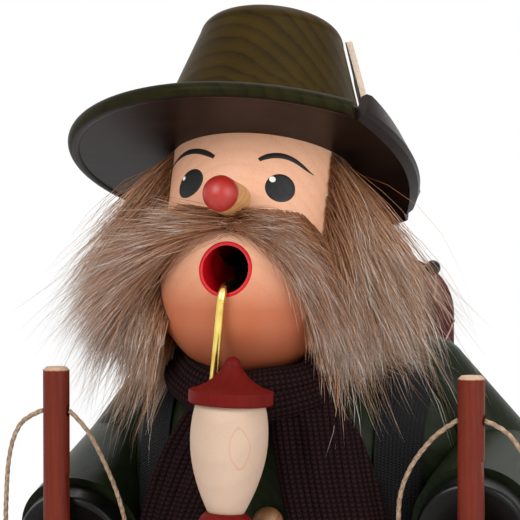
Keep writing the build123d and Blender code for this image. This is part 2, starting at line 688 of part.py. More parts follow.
def scarf_section(height, start, end):
    """A level slice of a scarf end: the coat's arc inside, a few soft folds outside."""
    inner = coat_radius(height, SCARF_GAP)
    valley, crest = inner + SCARF_THICK, inner + SCARF_THICK + SCARF_FOLD
    middle = (start + end) / 2
    outline = ThreePointArc(polar(start, inner, height), polar(middle, inner, height),
                            polar(end, inner, height))
    outline += Line(polar(end, inner, height), polar(end, valley, height))
    width = (start - end) / SCARF_FOLDS
    for fold in range(SCARF_FOLDS):
        near, far = end + width * fold, end + width * (fold + 1)
        outline += ThreePointArc(polar(near, valley, height), polar((near + far) / 2, crest, height),
                                 polar(far, valley, height))
    outline += Line(polar(start, valley, height), polar(start, inner, height))
    return make_face(outline)


def make_scarf_end(side_name):
    """One hanging end of the scarf, lofted down the coat's front."""
    sections = [scarf_section(*row) for row in scarf_ends[side_name]]
    cloth = loft(sections) - coat_form(SCARF_GAP / 2, HEM_HEIGHT)
    return largest(cloth - strap_form(side_name, SCARF_GAP - 0.05))


def make_scarf_wrap(keep_clear):
    """The turns round the neck: a ring of three soft rolls, lower at the throat than at the nape."""
    lobes = [(WRAP_RADIUS, -WRAP_LOBE), (WRAP_RADIUS + WRAP_LOBE * 0.7, 0), (WRAP_RADIUS, WRAP_LOBE)]
    face = Pos(*lobes[0]) * Circle(WRAP_LOBE)
    for lobe in lobes[1:]:
        face += Pos(*lobe) * Circle(WRAP_LOBE)
    tilt = radians(WRAP_TILT)
    middle = (head_middle.X * 0.6, head_middle.Y + WRAP_BACK, COAT_TOP - WRAP_DROP)
    place = Plane(origin=middle, x_dir=(1, 0, 0), z_dir=(0, -sin(tilt), cos(tilt)))
    wrap = place * revolve(Plane.XZ * face, Axis.Z)
    wrap -= head_form(SCARF_GAP)
    wrap -= coat_form(SCARF_GAP, HEM_HEIGHT)
    wrap -= rod(neck_point(0), neck_point(neck_low), NECK_RADIUS + SCARF_GAP)
    for block in keep_clear:
        wrap -= block
    return largest(wrap)


# Arms
def arm_points(name):
    """Shoulder, elbow and the middle of the cuff's front for one arm, with the forearm's direction."""
    side = SIDES[name]
    shoulder = Vector(side * SHOULDER_X, TORSO_Y + SHOULDER_BACK, SHOULDER_HEIGHT)
    elbow = Vector(side * ELBOW_X, TORSO_Y + ELBOW_BACK, ELBOW_HEIGHT)
    wrist = Vector(side * WRIST_X, TORSO_Y - WRIST_FORWARD, WRIST_HEIGHT[name])
    return shoulder, elbow, wrist, (wrist - elbow).normalized()


strap_skin = STRAP_GAP + STRAP_THICK


def strap_form(name, margin):
    """One strap, over the shoulder, down the chest and back round under the arm, grown by margin."""
    side = SIDES[name]
    near, far = side * (STRAP_INNER - margin), side * (STRAP_INNER + STRAP_WIDTH + margin)
    low = STRAP_TURN_HEIGHT - margin
    high = STRAP_TURN_HEIGHT + STRAP_WIDTH + margin
    over = slab((min(near, far), -FAR, low), (max(near, far), FAR, FAR))
    around = slab((min(near, side * FAR), -FAR, low), (max(near, side * FAR), FAR, high))
    skin = coat_form(strap_skin + margin, HEM_HEIGHT) - coat_form(STRAP_GAP - margin, HEM_HEIGHT - 1)
    return largest(skin & (over + around))


def make_sleeve(name):
    """Turned sleeve bent at the elbow, cut to the coat's side and to the strap, with its dowel hole."""
    shoulder, elbow, wrist, forearm = arm_points(name)
    end = wrist - forearm * CUFF_LENGTH
    sleeve = Pos(shoulder.X, shoulder.Y, shoulder.Z) * Sphere(SHOULDER_RADIUS)
    sleeve += rod(shoulder, elbow, SHOULDER_RADIUS, ELBOW_RADIUS)
    sleeve += Pos(elbow.X, elbow.Y, elbow.Z) * Sphere(ELBOW_RADIUS)
    sleeve += rod(elbow, end, ELBOW_RADIUS, SLEEVE_END_RADIUS)
    sleeve -= coat_form(ARM_GAP, HEM_HEIGHT)
    sleeve -= strap_form(name, ARM_GAP)
    sleeve -= rod(*arm_dowel_ends(SIDES[name]), ARM_DOWEL_RADIUS + GLUE_GAP)
    return largest(sleeve)


def make_arm_dowel(name):
    """Dowel between coat and sleeve."""
    inner, outer = arm_dowel_ends(SIDES[name])
    slack = Vector(SIDES[name] * GLUE_GAP, 0, 0)
    return rod(Vector(*inner) + slack, Vector(*outer) - slack, ARM_DOWEL_RADIUS)


def make_cuff(name):
    """Turned glove cuff at the sleeve's end."""
    wrist, forearm = arm_points(name)[2:]
    cuff = rod(wrist - forearm * CUFF_LENGTH, wrist, CUFF_RADIUS)
    return fillet(cuff.edges().filter_by(GeomType.CIRCLE), CUFF_EDGE)


def pole_axis(name):
    """Where a pole stands."""
    return Vector(SIDES[name] * POLE_X, TORSO_Y - POLE_FORWARD, 0)


def make_mitten(name):
    """Turned ball of a hand, glued to the cuff and drilled for the pole."""
    wrist, forearm = arm_points(name)[2:]
    axis = pole_axis(name)
    ball = Pos(axis.X, axis.Y, WRIST_HEIGHT[name] - MITTEN_DROP) * Sphere(MITTEN_RADIUS)
    ball &= Plane(origin=wrist, z_dir=forearm) * slab((-FAR, -FAR, 0), (FAR, FAR, FAR))
    return ball - rod(axis, axis + Vector(0, 0, FAR), POLE_RADIUS + GLUE_GAP)


def make_pole(name):
    """Stained rod with a chamfered top, a notched cross hole for the twine and a whittled flat."""
    axis = pole_axis(name)
    foot = BASE_THICK + FOOT_GAP
    outline = Polyline((0, foot), (POLE_RADIUS, foot), (POLE_RADIUS, POLE_TOP - POLE_CHAMFER),
                       (POLE_RADIUS - POLE_CHAMFER, POLE_TOP), (0, POLE_TOP), (0, foot))
    pole = turned(outline)
    hole = POLE_TOP - POLE_HOLE_DROP
    pole -= rod((-POLE_RADIUS * 2, 0, hole), (POLE_RADIUS * 2, 0, hole), POLE_HOLE_RADIUS)
    notch = POLE_RADIUS - POLE_NOTCH_DEPTH + POLE_NOTCH_RADIUS
    for side in SIDES.values():
        pole -= Pos(side * notch, 0, hole) * Sphere(POLE_NOTCH_RADIUS)
    facet_top = WRIST_HEIGHT[name] - MITTEN_DROP + POLE_FACET_LENGTH
    knife = Plane(origin=(POLE_RADIUS, 0, facet_top), x_dir=(0, 1, 0),
                  z_dir=(cos(radians(POLE_FACET_SLANT)), 0, sin(radians(POLE_FACET_SLANT))))
    reach = POLE_FACET_LENGTH
    pole -= knife * slab((-POLE_RADIUS, -reach, 0), (POLE_RADIUS, reach, POLE_RADIUS))
    return Pos(axis.X, axis.Y, 0) * pole


# Twine loops: points beside the pole's axis, from the outer mouth of the cross hole round the hand
# and back to its inner mouth, with the drop counted down from the hole
loop_points = {
    "left": [(3.5, 0.0, 0.0), (8.0, 0.4, 1.6), (12.2, 1.2, 6.4), (15.6, 2.4, 13.6), (17.9, 4.0, 21.8),
             (18.9, 5.8, 30.4), (17.8, 7.4, 39.0), (14.2, 9.0, 46.6), (8.0, 10.4, 52.0), (0.3, 10.9, 54.0),
             (-7.9, 10.5, 52.2), (-14.3, 9.1, 46.6), (-18.4, 7.5, 38.8), (-20.3, 5.9, 29.8),
             (-19.9, 4.2, 20.8), (-17.0, 2.6, 13.4), (-12.8, 1.3, 7.6), (-8.2, 0.5, 2.8), (-3.5, 0.0, 0.0)],
    "right": [(3.5, 0.0, 0.0), (7.0, 0.5, 3.2), (10.2, 1.4, 8.6), (13.3, 2.6, 15.6), (16.0, 4.1, 23.2),
              (17.6, 5.6, 31.6), (17.6, 7.0, 40.4), (14.6, 8.8, 48.4), (8.4, 10.4, 54.6), (0.2, 11.0, 57.2),
              (-7.6, 10.5, 55.2), (-13.2, 9.1, 49.2), (-15.8, 7.5, 40.8), (-16.0, 5.9, 31.8),
              (-15.2, 4.2, 23.0), (-14.2, 2.6, 14.4), (-12.2, 1.4, 6.8), (-8.6, 0.5, 1.8), (-3.5, 0.0, 0.0)],
}


def make_wrist_loop(name):
    """Limp twine through the pole's cross hole, hanging round the hand."""
    axis = pole_axis(name)
    hole = POLE_TOP - POLE_HOLE_DROP
    route = [Vector(axis.X + x, axis.Y + y, hole - drop) for x, y, drop in loop_points[name]]
    radii = []
    for before, point, after in zip(route, route[1:], route[2:]):
        turn = (point - before).get_angle(after - point)
        shorter = min((point - before).length, (after - point).length)
        half_turn = radians(turn / 2)
        radii.append(0.45 * shorter * cos(half_turn) / sin(half_turn))
    path = FilletPolyline(*route, radius=radii)
    start = Plane(origin=path @ 0, z_dir=path % 0)
    tube = sweep(start * Circle(TWINE_RADIUS), path=path)
    expected = path.length * TWINE_RADIUS ** 2 * 3.14159
    print(name, "wrist loop length", round(path.length, 1), "tightest radius", round(min(radii), 1),
          "volume share", round(tube.volume / expected, 4))
    return tube


# Pipe
def make_pipe_stem():
    """Bent brass wire from the mouth to the bowl."""
    path = FilletPolyline(*stem_route, radius=STEM_BEND)
    return sweep(Plane(origin=path @ 0, z_dir=path % 0) * Circle(STEM_RADIUS), path=path)


def make_pipe_bowl():
    """Turned bowl, fullest above its middle, bored from the top, with a hole for the stem."""
    outline = Spline((BOWL_FOOT_RADIUS, 0), (BOWL_RADIUS, BOWL_WIDEST), (BOWL_TOP_RADIUS, BOWL_LENGTH),
                     tangents=[(0.5, 1.0), (-0.28, 1.0)])
    floor = BOWL_LENGTH - BOWL_BORE_DEPTH
    outline += Polyline((BOWL_TOP_RADIUS, BOWL_LENGTH), (BOWL_BORE, BOWL_LENGTH), (BOWL_BORE, floor),
                        (0, floor), (0, 0), (BOWL_FOOT_RADIUS, 0))
    bowl = pipe_frame * turned(outline)
    corner, inside = Vector(*stem_route[-2]), Vector(*stem_route[-1])
    return bowl - rod(corner, inside + (inside - corner), STEM_RADIUS + GLUE_GAP)


def make_pipe_lid():
    """Turned lid with a straight rim, a hollow cone and a round tip."""
    seat = BOWL_BORE - GLUE_GAP
    outline = Polyline((0, -LID_SPIGOT), (seat, -LID_SPIGOT), (seat, 0), (LID_RADIUS - 0.5, 0),
                       (LID_RADIUS, 0.5), (LID_RADIUS, LID_RIM))
    outline += ThreePointArc((LID_RADIUS, LID_RIM), (LID_TIP * 2.2, LID_RIM + 3.1),
                             (LID_TIP, LID_HEIGHT - LID_TIP))
    outline += dome(LID_TIP, LID_HEIGHT - LID_TIP, LID_TIP)
    outline += Line((0, LID_HEIGHT), (0, -LID_SPIGOT))
    return pipe_frame * (Pos(0, 0, BOWL_LENGTH) * turned(outline))


def make_pipe_foot():
    """Turned knob glued under the bowl."""
    outline = Polyline((0, 0), (BOWL_FOOT_RADIUS + 0.6, 0))
    outline += ThreePointArc((BOWL_FOOT_RADIUS + 0.6, 0), (FOOT_RADIUS, -FOOT_HEIGHT * 0.4),
                             (FOOT_RADIUS * 0.35, -FOOT_HEIGHT * 0.94))
    outline += Polyline((FOOT_RADIUS * 0.35, -FOOT_HEIGHT * 0.94), (0, -FOOT_HEIGHT), (0, 0))
    return pipe_frame * turned(outline)


# Pack
pack_low = PACK_TOP - PACK_HEIGHT


def knob_axis(side):
    """Seat of a knob on the pack's rounded top corner, and the way it points."""
    turn = radians(KNOB_ANGLE)
    way = Vector(side * cos(turn), 0, sin(turn))
    corner = Vector(side * (PACK_HALF_WIDTH - PACK_CORNER), TORSO_Y + KNOB_BACK, PACK_TOP - PACK_CORNER)
    return corner + way * PACK_CORNER, way


def make_pack():
    """Rounded pack body, hollowed at the front to lie against the back of the coat."""
    outline = RectangleRounded(2 * PACK_HALF_WIDTH, PACK_HEIGHT, PACK_CORNER)
    outline = Pos(0, (PACK_TOP + pack_low) / 2) * outline
    place = Plane(origin=(0, TORSO_Y + PACK_BACK, 0), x_dir=(1, 0, 0), z_dir=(0, -1, 0))
    pack = place * extrude(outline, PACK_BACK - PACK_FRONT)
    back = pack.faces().sort_by(Axis.Y)[-1]
    pack = fillet(back.edges(), PACK_EDGE)
    pack = largest(pack - coat_form(strap_skin + STRAP_GAP, HEM_HEIGHT))
    for side in SIDES.values():
        seat, way = knob_axis(side)
        pack -= rod(seat - way * (KNOB_RADIUS * 2), seat + way, KNOB_PIN + GLUE_GAP)
    return pack


def make_pack_knobs():
    """Small balls on pins at both top corners of the pack."""
    knobs = []
    for side in SIDES.values():
        seat, way = knob_axis(side)
        middle = seat + way * (KNOB_RADIUS + GLUE_GAP)
        ball = Pos(middle.X, middle.Y, middle.Z) * Sphere(KNOB_RADIUS)
        knobs.append(ball + rod(seat - way * (KNOB_RADIUS * 2 - GLUE_GAP), middle, KNOB_PIN))
    return Compound(children=[knob.solid() for knob in knobs])


def make_strap(name):
    """Webbing strap that carries the pack, clear of the arm's dowel."""
    dowel = rod(*arm_dowel_ends(SIDES[name]), ARM_DOWEL_RADIUS + STRAP_GAP)
    return largest(strap_form(name, 0) - dowel)


def build_pieces():
    """Every piece of the smoker by its node name."""
    pieces = {"base_plate": make_base_plate(), "hips": make_hips(), "incense_tray": make_tray(),
              "tray_nail": make_nail(), "coat": make_coat(), "coat_buttons": make_buttons(),
              "neck_tube": make_neck(), "head": make_head(), "nose": make_nose(),
              "hat_brim": make_hat_brim(), "hat_crown": make_hat_crown(), "hat_dowel": make_hat_dowel(),
              "hat_flap": make_hat_flap(), "hat_feather": make_hat_feather(), "moustache": make_moustache(),
              "pipe_stem": make_pipe_stem(), "pipe_bowl": make_pipe_bowl(), "pipe_lid": make_pipe_lid(),
              "pipe_foot": make_pipe_foot(), "pack": make_pack(), "pack_knobs": make_pack_knobs()}
    for name, side in SIDES.items():
        pieces[name + "_shoe"] = make_shoe(side)
        pieces[name + "_leg"] = make_leg(side)
        pieces[name + "_sleeve"] = make_sleeve(name)
        pieces[name + "_arm_dowel"] = make_arm_dowel(name)
        pieces[name + "_cuff"] = make_cuff(name)
        pieces[name + "_mitten"] = make_mitten(name)
        pieces[name + "_pole"] = make_pole(name)
        pieces[name + "_wrist_loop"] = make_wrist_loop(name)
        pieces[name + "_strap"] = make_strap(name)
        pieces[name + "_scarf_end"] = make_scarf_end(name)
    ends = [pieces["left_scarf_end"], pieces["right_scarf_end"]]
    straps = [strap_form(name, SCARF_GAP - 0.05) for name in SIDES]
    pieces["scarf_wrap"] = make_scarf_wrap(ends + straps)
    shoulders = coat_form(strap_skin + HAIR_GAP, HEM_HEIGHT)
    for name, side in SIDES.items():
        axis = pole_axis(name)
        reach = side * POLE_X / 2
        pole_room = slab((min(reach, side * FAR), -FAR, 0),
                         (max(reach, side * FAR), axis.Y + HAIR_POLE_ROOM, POLE_TOP + HAIR_POLE_ROOM))
        around = [shoulders, pieces[name + "_sleeve"], pieces["scarf_wrap"], pieces[name + "_scarf_end"],
                  pieces["moustache"], pole_room]
        pieces[name + "_hair"] = make_side_hair(side, around)
    pieces["back_hair"] = make_back_hair([shoulders, pieces["scarf_wrap"]])
    return pieces


os.makedirs("parts", exist_ok=True)
for node, piece in build_pieces().items():
    export_step(piece, "parts/" + node + ".step")
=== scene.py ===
# %% [markdown]
# # A turned wooden incense smoker
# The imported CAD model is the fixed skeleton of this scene. Its turned and stained wooden pieces keep
# their own meshes and get new finishes here. What is soft on the real figure, such as fur, knitted scarf,
# webbing and twine, is built here piece by piece and put in the place of its plain solid.

# %% Frame and units
import math
import bpy
import numpy as np
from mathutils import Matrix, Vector


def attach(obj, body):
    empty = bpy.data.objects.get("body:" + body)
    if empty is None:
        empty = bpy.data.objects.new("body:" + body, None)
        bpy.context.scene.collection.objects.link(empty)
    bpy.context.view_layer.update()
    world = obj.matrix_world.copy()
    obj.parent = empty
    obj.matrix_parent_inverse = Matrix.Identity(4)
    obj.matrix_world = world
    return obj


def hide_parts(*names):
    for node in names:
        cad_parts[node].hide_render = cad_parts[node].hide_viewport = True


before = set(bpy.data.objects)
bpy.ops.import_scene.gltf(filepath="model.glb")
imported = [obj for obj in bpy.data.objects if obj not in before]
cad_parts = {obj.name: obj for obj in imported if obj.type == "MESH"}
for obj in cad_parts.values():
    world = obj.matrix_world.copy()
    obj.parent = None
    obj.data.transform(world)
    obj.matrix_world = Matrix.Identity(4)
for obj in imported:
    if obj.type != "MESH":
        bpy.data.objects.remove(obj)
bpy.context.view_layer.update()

MM = 0.001
scene = bpy.context.scene
scene.view_settings.view_transform = "Standard"
print("frame loaded with", len(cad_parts), "nodes")

# %% [markdown]
# ## Camera
# The photograph is a close portrait taken with a long lens a little above the chin, from the figure's
# left front. A short lens close by would splay the poles apart and swell the brim, so this camera stands
# more than a metre off. Its place was worked out from where hat, poles and pipe stand in the picture.

# %% Camera
VIEW_TURN, VIEW_RISE = math.radians(14), math.radians(3.5)
VIEW_DISTANCE, VIEW_TARGET = 1.1, Vector((-0.0110, 0.0073, 0.2302))
VIEW_LENS, VIEW_SENSOR, VIEW_NEAR = 282.2, 36, 0.05
towards_camera = Vector((math.sin(VIEW_TURN) * math.cos(VIEW_RISE),
                         -math.cos(VIEW_TURN) * math.cos(VIEW_RISE), math.sin(VIEW_RISE)))
camera_data = bpy.data.cameras.new("camera")
camera_data.sensor_width = VIEW_SENSOR
camera_data.lens = VIEW_LENS
camera_data.clip_start = VIEW_NEAR
camera = bpy.data.objects.new("camera", camera_data)
camera.location = VIEW_TARGET + towards_camera * VIEW_DISTANCE
camera.rotation_euler = towards_camera.to_track_quat("Z", "Y").to_euler()
scene.collection.objects.link(camera)
scene.camera = camera
print("camera at", [round(value, 3) for value in camera.location])

# %% [markdown]
# ## Node helpers
# Every finish below is a small network of shader nodes. Such a network can be drawn by hand in the shader
# editor; as code it is easier to repeat and to compare. Each helper makes one kind of node, fills its
# sockets with plain values or with links, and hands back the output, so that a finish reads as a recipe.

# %% Node helpers
def fill(tree, socket, value):
    """Sets a socket to a plain value, or links another node's output to it."""
    if isinstance(value, bpy.types.NodeSocket):
        tree.links.new(value, socket)
    else:
        socket.default_value = value


def add_node(tree, kind, inputs=None, **settings):
    """A new node with settings on itself and values or links on its input sockets."""
    made = tree.nodes.new(kind)
    for key, value in settings.items():
        setattr(made, key, value)
    for key, value in (inputs or {}).items():
        fill(tree, made.inputs[key], value)
    return made


def sums(tree, operation, first, second=0.0, third=0.0, clamp=False):
    """The output of one Math node."""
    inputs = {0: first, 1: second, 2: third}
    return add_node(tree, "ShaderNodeMath", inputs, operation=operation, use_clamp=clamp).outputs[0]


def vectors(tree, operation, first, second=(0, 0, 0), scale=1.0):
    """The output of one Vector Math node, a number where the operation gives one."""
    made = add_node(tree, "ShaderNodeVectorMath", {0: first, 1: second, 3: scale}, operation=operation)
    return made.outputs[1 if operation in ("LENGTH", "DOT_PRODUCT") else 0]


def noise(tree, place, scale, detail):
    """The grey output of a noise texture."""
    inputs = {"Vector": place, "Scale": scale, "Detail": detail}
    return add_node(tree, "ShaderNodeTexNoise", inputs).outputs[0]


def between(tree, value, start, end, low=0.0, high=1.0):
    """A value carried from one range to another and held inside it."""
    return add_node(tree, "ShaderNodeMapRange", {"Value": value, "From Min": start, "From Max": end,
                                                 "To Min": low, "To Max": high}).outputs[0]


def place_of(tree):
    """The place on the object, in metres."""
    return add_node(tree, "ShaderNodeTexCoord").outputs["Object"]


def parts_of(tree, vector):
    """The three numbers of a vector: left, back and height where it is a place."""
    return add_node(tree, "ShaderNodeSeparateXYZ", {0: vector}).outputs


print("node helpers ready")

# %% [markdown]
# ## Colour and material helpers
# Colours are noted as the values that a screen shows and turned into the linear ones that a renderer
# counts in. A group of nodes that several finishes share is built once, with named sockets, and placed in
# each of them with its own values.

# %% Colour and material helpers
def srgb(red, green, blue):
    """A linear colour from the 0 to 255 values that a screen shows."""
    linear = []
    for value in (red, green, blue):
        share = value / 255
        linear.append(share / 12.92 if share <= 0.04045 else ((share + 0.055) / 1.055) ** 2.4)
    return (*linear, 1.0)


def mix_colours(tree, share, first, second):
    """The output of one colour Mix node."""
    return add_node(tree, "ShaderNodeMix", {0: share, 6: first, 7: second}, data_type="RGBA").outputs[2]


def ramp(tree, share, stops):
    """The colour output of a ramp whose stops are places and screen colours."""
    made = add_node(tree, "ShaderNodeValToRGB", {0: share})
    elements = made.color_ramp.elements
    while len(elements) < len(stops):
        elements.new(0.5)
    for element, (place, shade) in zip(elements, stops):
        element.position = place
        element.color = srgb(*shade)
    return made.outputs[0]


def new_material(name):
    """A material with only its Principled BSDF and output."""
    made = bpy.data.materials.new(name)
    made.use_nodes = True
    return made, made.node_tree, made.node_tree.nodes["Principled BSDF"]


def dress(tree, shader, values):
    """Values or links on the shader's own sockets."""
    for key, value in values.items():
        fill(tree, shader.inputs[key], value)


def add_bump(tree, shader, height, strength, distance):
    """Feeds a height to the shader's normal."""
    bump = add_node(tree, "ShaderNodeBump", {"Strength": strength, "Distance": distance, "Height": height})
    dress(tree, shader, {"Normal": bump.outputs[0]})


def new_group(name, inputs, outputs):
    """A shader node group with named sockets, and its input and output nodes."""
    group = bpy.data.node_groups.new(name, "ShaderNodeTree")
    for label, kind, value in inputs:
        socket = group.interface.new_socket(name=label, in_out="INPUT", socket_type=kind)
        if value is not None:
            socket.default_value = value
    for label, kind in outputs:
        group.interface.new_socket(name=label, in_out="OUTPUT", socket_type=kind)
    return group, group.nodes.new("NodeGroupInput"), group.nodes.new("NodeGroupOutput")


def use_group(tree, group, inputs):
    """The outputs of a node that places a group in a material."""
    return add_node(tree, "ShaderNodeGroup", inputs, node_tree=group).outputs


print("colour and material helpers ready")

# %% [markdown]
# ## Mesh helpers
# The soft pieces are grids of points worked out with numpy: rows along a piece and columns across it.
# Modelling them by hand would give one shape that is hard to change; a grid follows its numbers. One
# helper turns points and faces into an object that rides on a moving body of the CAD model.

# %% Mesh helpers
def make_piece(name, points, faces, slot, body, material):
    """A smooth mesh object in metres that rides on a body."""
    mesh = bpy.data.meshes.new(name)
    mesh.from_pydata(np.asarray(points, float).tolist(), [], faces)
    mesh.update()
    mesh.polygons.foreach_set("use_smooth", [True] * len(mesh.polygons))
    mesh.materials.append(material)
    made = bpy.data.objects.new(name, mesh)
    scene.collection.objects.link(made)
    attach(made, body)
    return made


def grid_faces(rows, columns, round_rows=False, round_columns=False):
    """Quads over a grid of points, joined up where a direction is closed."""
    faces = []
    for row in range(rows if round_rows else rows - 1):
        here, below = row * columns, (row + 1) % rows * columns
        for column in range(columns if round_columns else columns - 1):
            beside = (column + 1) % columns
            faces.append((here + column, here + beside, below + beside, below + column))
    return faces


def capped_faces(rows, columns):
    """Quads round a tube of points, with a face over each end."""
    last = (rows - 1) * columns
    caps = [tuple(range(columns))[::-1], tuple(range(last, last + columns))]
    return grid_faces(rows, columns, round_columns=True) + caps


def join_meshes(parts):
    """Several lists of points and faces as one."""
    points, faces, start = [], [], 0
    for part_points, part_faces in parts:
        points.append(np.asarray(part_points))
        faces += [tuple(index + start for index in face) for face in part_faces]
        start += len(part_points)
    return np.concatenate(points), faces


def unit(directions):
    """Directions of length one."""
    return directions / np.maximum(np.linalg.norm(directions, axis=-1, keepdims=True), 1e-12)


print("mesh helpers ready")

# %% [markdown]
# ## Flat coordinates
# Knit, weave and hair are coloured by where they lie on their own strip, not by where that strip hangs. A
# UV map carries such a place for each corner of each face. Unwrapping in the editor would guess it from
# the shape; these pieces are grids, so the place is known and only has to be stored.

# %% Flat coordinates
def corner_points(made):
    """The point that each face corner of a mesh uses."""
    corners = np.empty(len(made.data.loops), int)
    made.data.loops.foreach_get("vertex_index", corners)
    return corners


def set_uv(made, name, corner_uv):
    """A named UV map from one pair of numbers for each face corner."""
    layer = made.data.uv_layers.new(name=name)
    layer.data.foreach_set("uv", np.asarray(corner_uv, float).ravel())


print("flat coordinates ready")

# %% [markdown]
# ## Lines that become cords
# Twine, lacing and stitches are all thin round things along a line. Blender can bevel a curve into a tube,
# but a twisted yarn needs several strands that wind round each other, so the tubes are built from points:
# steady cross directions are carried along the line, and each strand circles it on them.

# %% Cord helpers
STRAND_SIDES = 6


def run_lengths(points):
    """The distance along a line of points at each of them."""
    return np.concatenate([[0], np.cumsum(np.linalg.norm(np.diff(points, axis=0), axis=1))])


def even_points(points, step):
    """Points at an even step along a line of points, and its length."""
    along = run_lengths(points)
    places = np.linspace(0, along[-1], max(4, int(along[-1] / step)))
    return np.stack([np.interp(places, along, points[:, axis]) for axis in range(3)], axis=1), along[-1]


def cross_directions(points):
    """Two steady cross directions at each point of a line."""
    ways = unit(np.gradient(points, axis=0))
    first = np.cross(ways[0], (0.0, 1.0, 0.0))
    if np.linalg.norm(first) < 0.1:
        first = np.cross(ways[0], (1.0, 0.0, 0.0))
    across = [unit(first)]
    for way in ways[1:]:
        across.append(unit(across[-1] - way * np.dot(across[-1], way)))
    across = np.array(across)
    return across, np.cross(ways, across)


def tube(points, radius):
    """Points and faces of a closed tube along a line."""
    across, up = cross_directions(points)
    turns = (np.arange(STRAND_SIDES) * 2 * np.pi / STRAND_SIDES)[None, :, None]
    rings = points[:, None] + radius * (across[:, None] * np.cos(turns) + up[:, None] * np.sin(turns))
    return rings.reshape(-1, 3), capped_faces(len(points), STRAND_SIDES)


def twisted(points, strands, strand_radius, offset, pitch):
    """Strands that wind round a line."""
    across, up = cross_directions(points)
    along = run_lengths(points)
    parts = []
    for strand in range(strands):
        turn = (2 * np.pi * (along / pitch + strand / strands))[:, None]
        parts.append(tube(points + offset * (across * np.cos(turn) + up * np.sin(turn)), strand_radius))
    return join_meshes(parts)


print("a strand has", STRAND_SIDES, "sides")

# %% [markdown]
# ## Route of the wrist loops
# Each pole has a loop of limp twine through a cross hole, hanging round the hand. A cloth simulation could
# drop it into place, but would fall a little otherwise each time. The route is therefore a NURBS spline
# through the same points as the CAD cord, read off as a line.

# %% Twine route
POLE_X, POLE_Y, POLE_TOP, POLE_HOLE_DROP = 55.5, -35.5, 204.0, 11.5
ROUTE_ORDER, ROUTE_STEPS = 3, 10
SIDES = {"left": 1.0, "right": -1.0}
loop_points = {
    "left": [(3.5, 0.0, 0.0), (8.0, 0.4, 1.6), (12.2, 1.2, 6.4), (15.6, 2.4, 13.6), (17.9, 4.0, 21.8),
             (18.9, 5.8, 30.4), (17.8, 7.4, 39.0), (14.2, 9.0, 46.6), (8.0, 10.4, 52.0), (0.3, 10.9, 54.0),
             (-7.9, 10.5, 52.2), (-14.3, 9.1, 46.6), (-18.4, 7.5, 38.8), (-20.3, 5.9, 29.8),
             (-19.9, 4.2, 20.8), (-17.0, 2.6, 13.4), (-12.8, 1.3, 7.6), (-8.2, 0.5, 2.8), (-3.5, 0.0, 0.0)],
    "right": [(3.5, 0.0, 0.0), (7.0, 0.5, 3.2), (10.2, 1.4, 8.6), (13.3, 2.6, 15.6), (16.0, 4.1, 23.2),
              (17.6, 5.6, 31.6), (17.6, 7.0, 40.4), (14.6, 8.8, 48.4), (8.4, 10.4, 54.6), (0.2, 11.0, 57.2),
              (-7.6, 10.5, 55.2), (-13.2, 9.1, 49.2), (-15.8, 7.5, 40.8), (-16.0, 5.9, 31.8),
              (-15.2, 4.2, 23.0), (-14.2, 2.6, 14.4), (-12.2, 1.4, 6.8), (-8.6, 0.5, 1.8), (-3.5, 0.0, 0.0)],
}


def twine_route(name):
    """Points on the spline of one wrist loop, in metres."""
    hole = POLE_TOP - POLE_HOLE_DROP
    middle = SIDES[name] * POLE_X
    data = bpy.data.curves.new(name + "_route", "CURVE")
    data.dimensions = "3D"
    spline = data.splines.new("NURBS")
    spline.points.add(len(loop_points[name]) - 1)
    for point, (x, y, drop) in zip(spline.points, loop_points[name]):
        point.co = ((middle + x) * MM, (POLE_Y + y) * MM, (hole - drop) * MM, 1.0)
    spline.order_u = ROUTE_ORDER
    spline.use_endpoint_u = True
    spline.resolution_u = ROUTE_STEPS
    curve = bpy.data.objects.new(name + "_route", data)
    mesh = bpy.data.meshes.new_from_object(curve)
    points = np.array([vertex.co[:] for vertex in mesh.vertices])
    bpy.data.meshes.remove(mesh)
    bpy.data.objects.remove(curve)
    bpy.data.curves.remove(data)
    return points


print("wrist loops start", POLE_HOLE_DROP, "mm below the poles' tops")

# %% [markdown]
# ## Twine
# The loops are three-strand jute, straw to tan, matt and a little hairy. A plain tube with a striped
# colour would look like wire; real strands catch light and shade along their slant. Noise mottles the
# colour, and a finer noise as bump gives the fibres.

# %% Twine finish and loops
TWINE_STRANDS, TWINE_STRAND, TWINE_OFFSET, TWINE_PITCH = 3, 0.43, 0.24, 7.5
TWINE_STEP = 0.45


def make_twine_finish(name, shades):
    """Jute or cotton twine mottled over three shades, matt, with fine fibres."""
    made, tree, shader = new_material(name)
    place = place_of(tree)
    colour = ramp(tree, noise(tree, place, 900.0, 4.0), list(zip((0.3, 0.55, 0.8), shades)))
    dress(tree, shader, {"Base Color": colour, "Roughness": 0.85})
    add_bump(tree, shader, noise(tree, place, 5200.0, 2.0), 0.6, 0.0002)
    return made


twine_finish = make_twine_finish("twine", [(126, 100, 80), (164, 137, 112), (192, 168, 144)])
for name in SIDES:
    route, length = even_points(twine_route(name), TWINE_STEP * MM)
    points, faces = twisted(route, TWINE_STRANDS, TWINE_STRAND * MM, TWINE_OFFSET * MM, TWINE_PITCH * MM)
    loop = make_piece(name + "_twine_loop", points, faces, "twine", "figure", twine_finish)
    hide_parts(name + "_wrist_loop")
    print(name, "twine loop is", round(length / MM, 1), "mm long")

# %% [markdown]
# ## Wood
# Nearly everything hard on the figure is turned or sawn wood, some of it bare and most of it stained, so
# one group of nodes makes the grain for all of it. A photograph of grain would have to be wrapped round
# each shape. Here growth rings are distances from a pith line that lies beside the piece; where a turned
# shape cuts them they show as the arches and stripes of real timber.

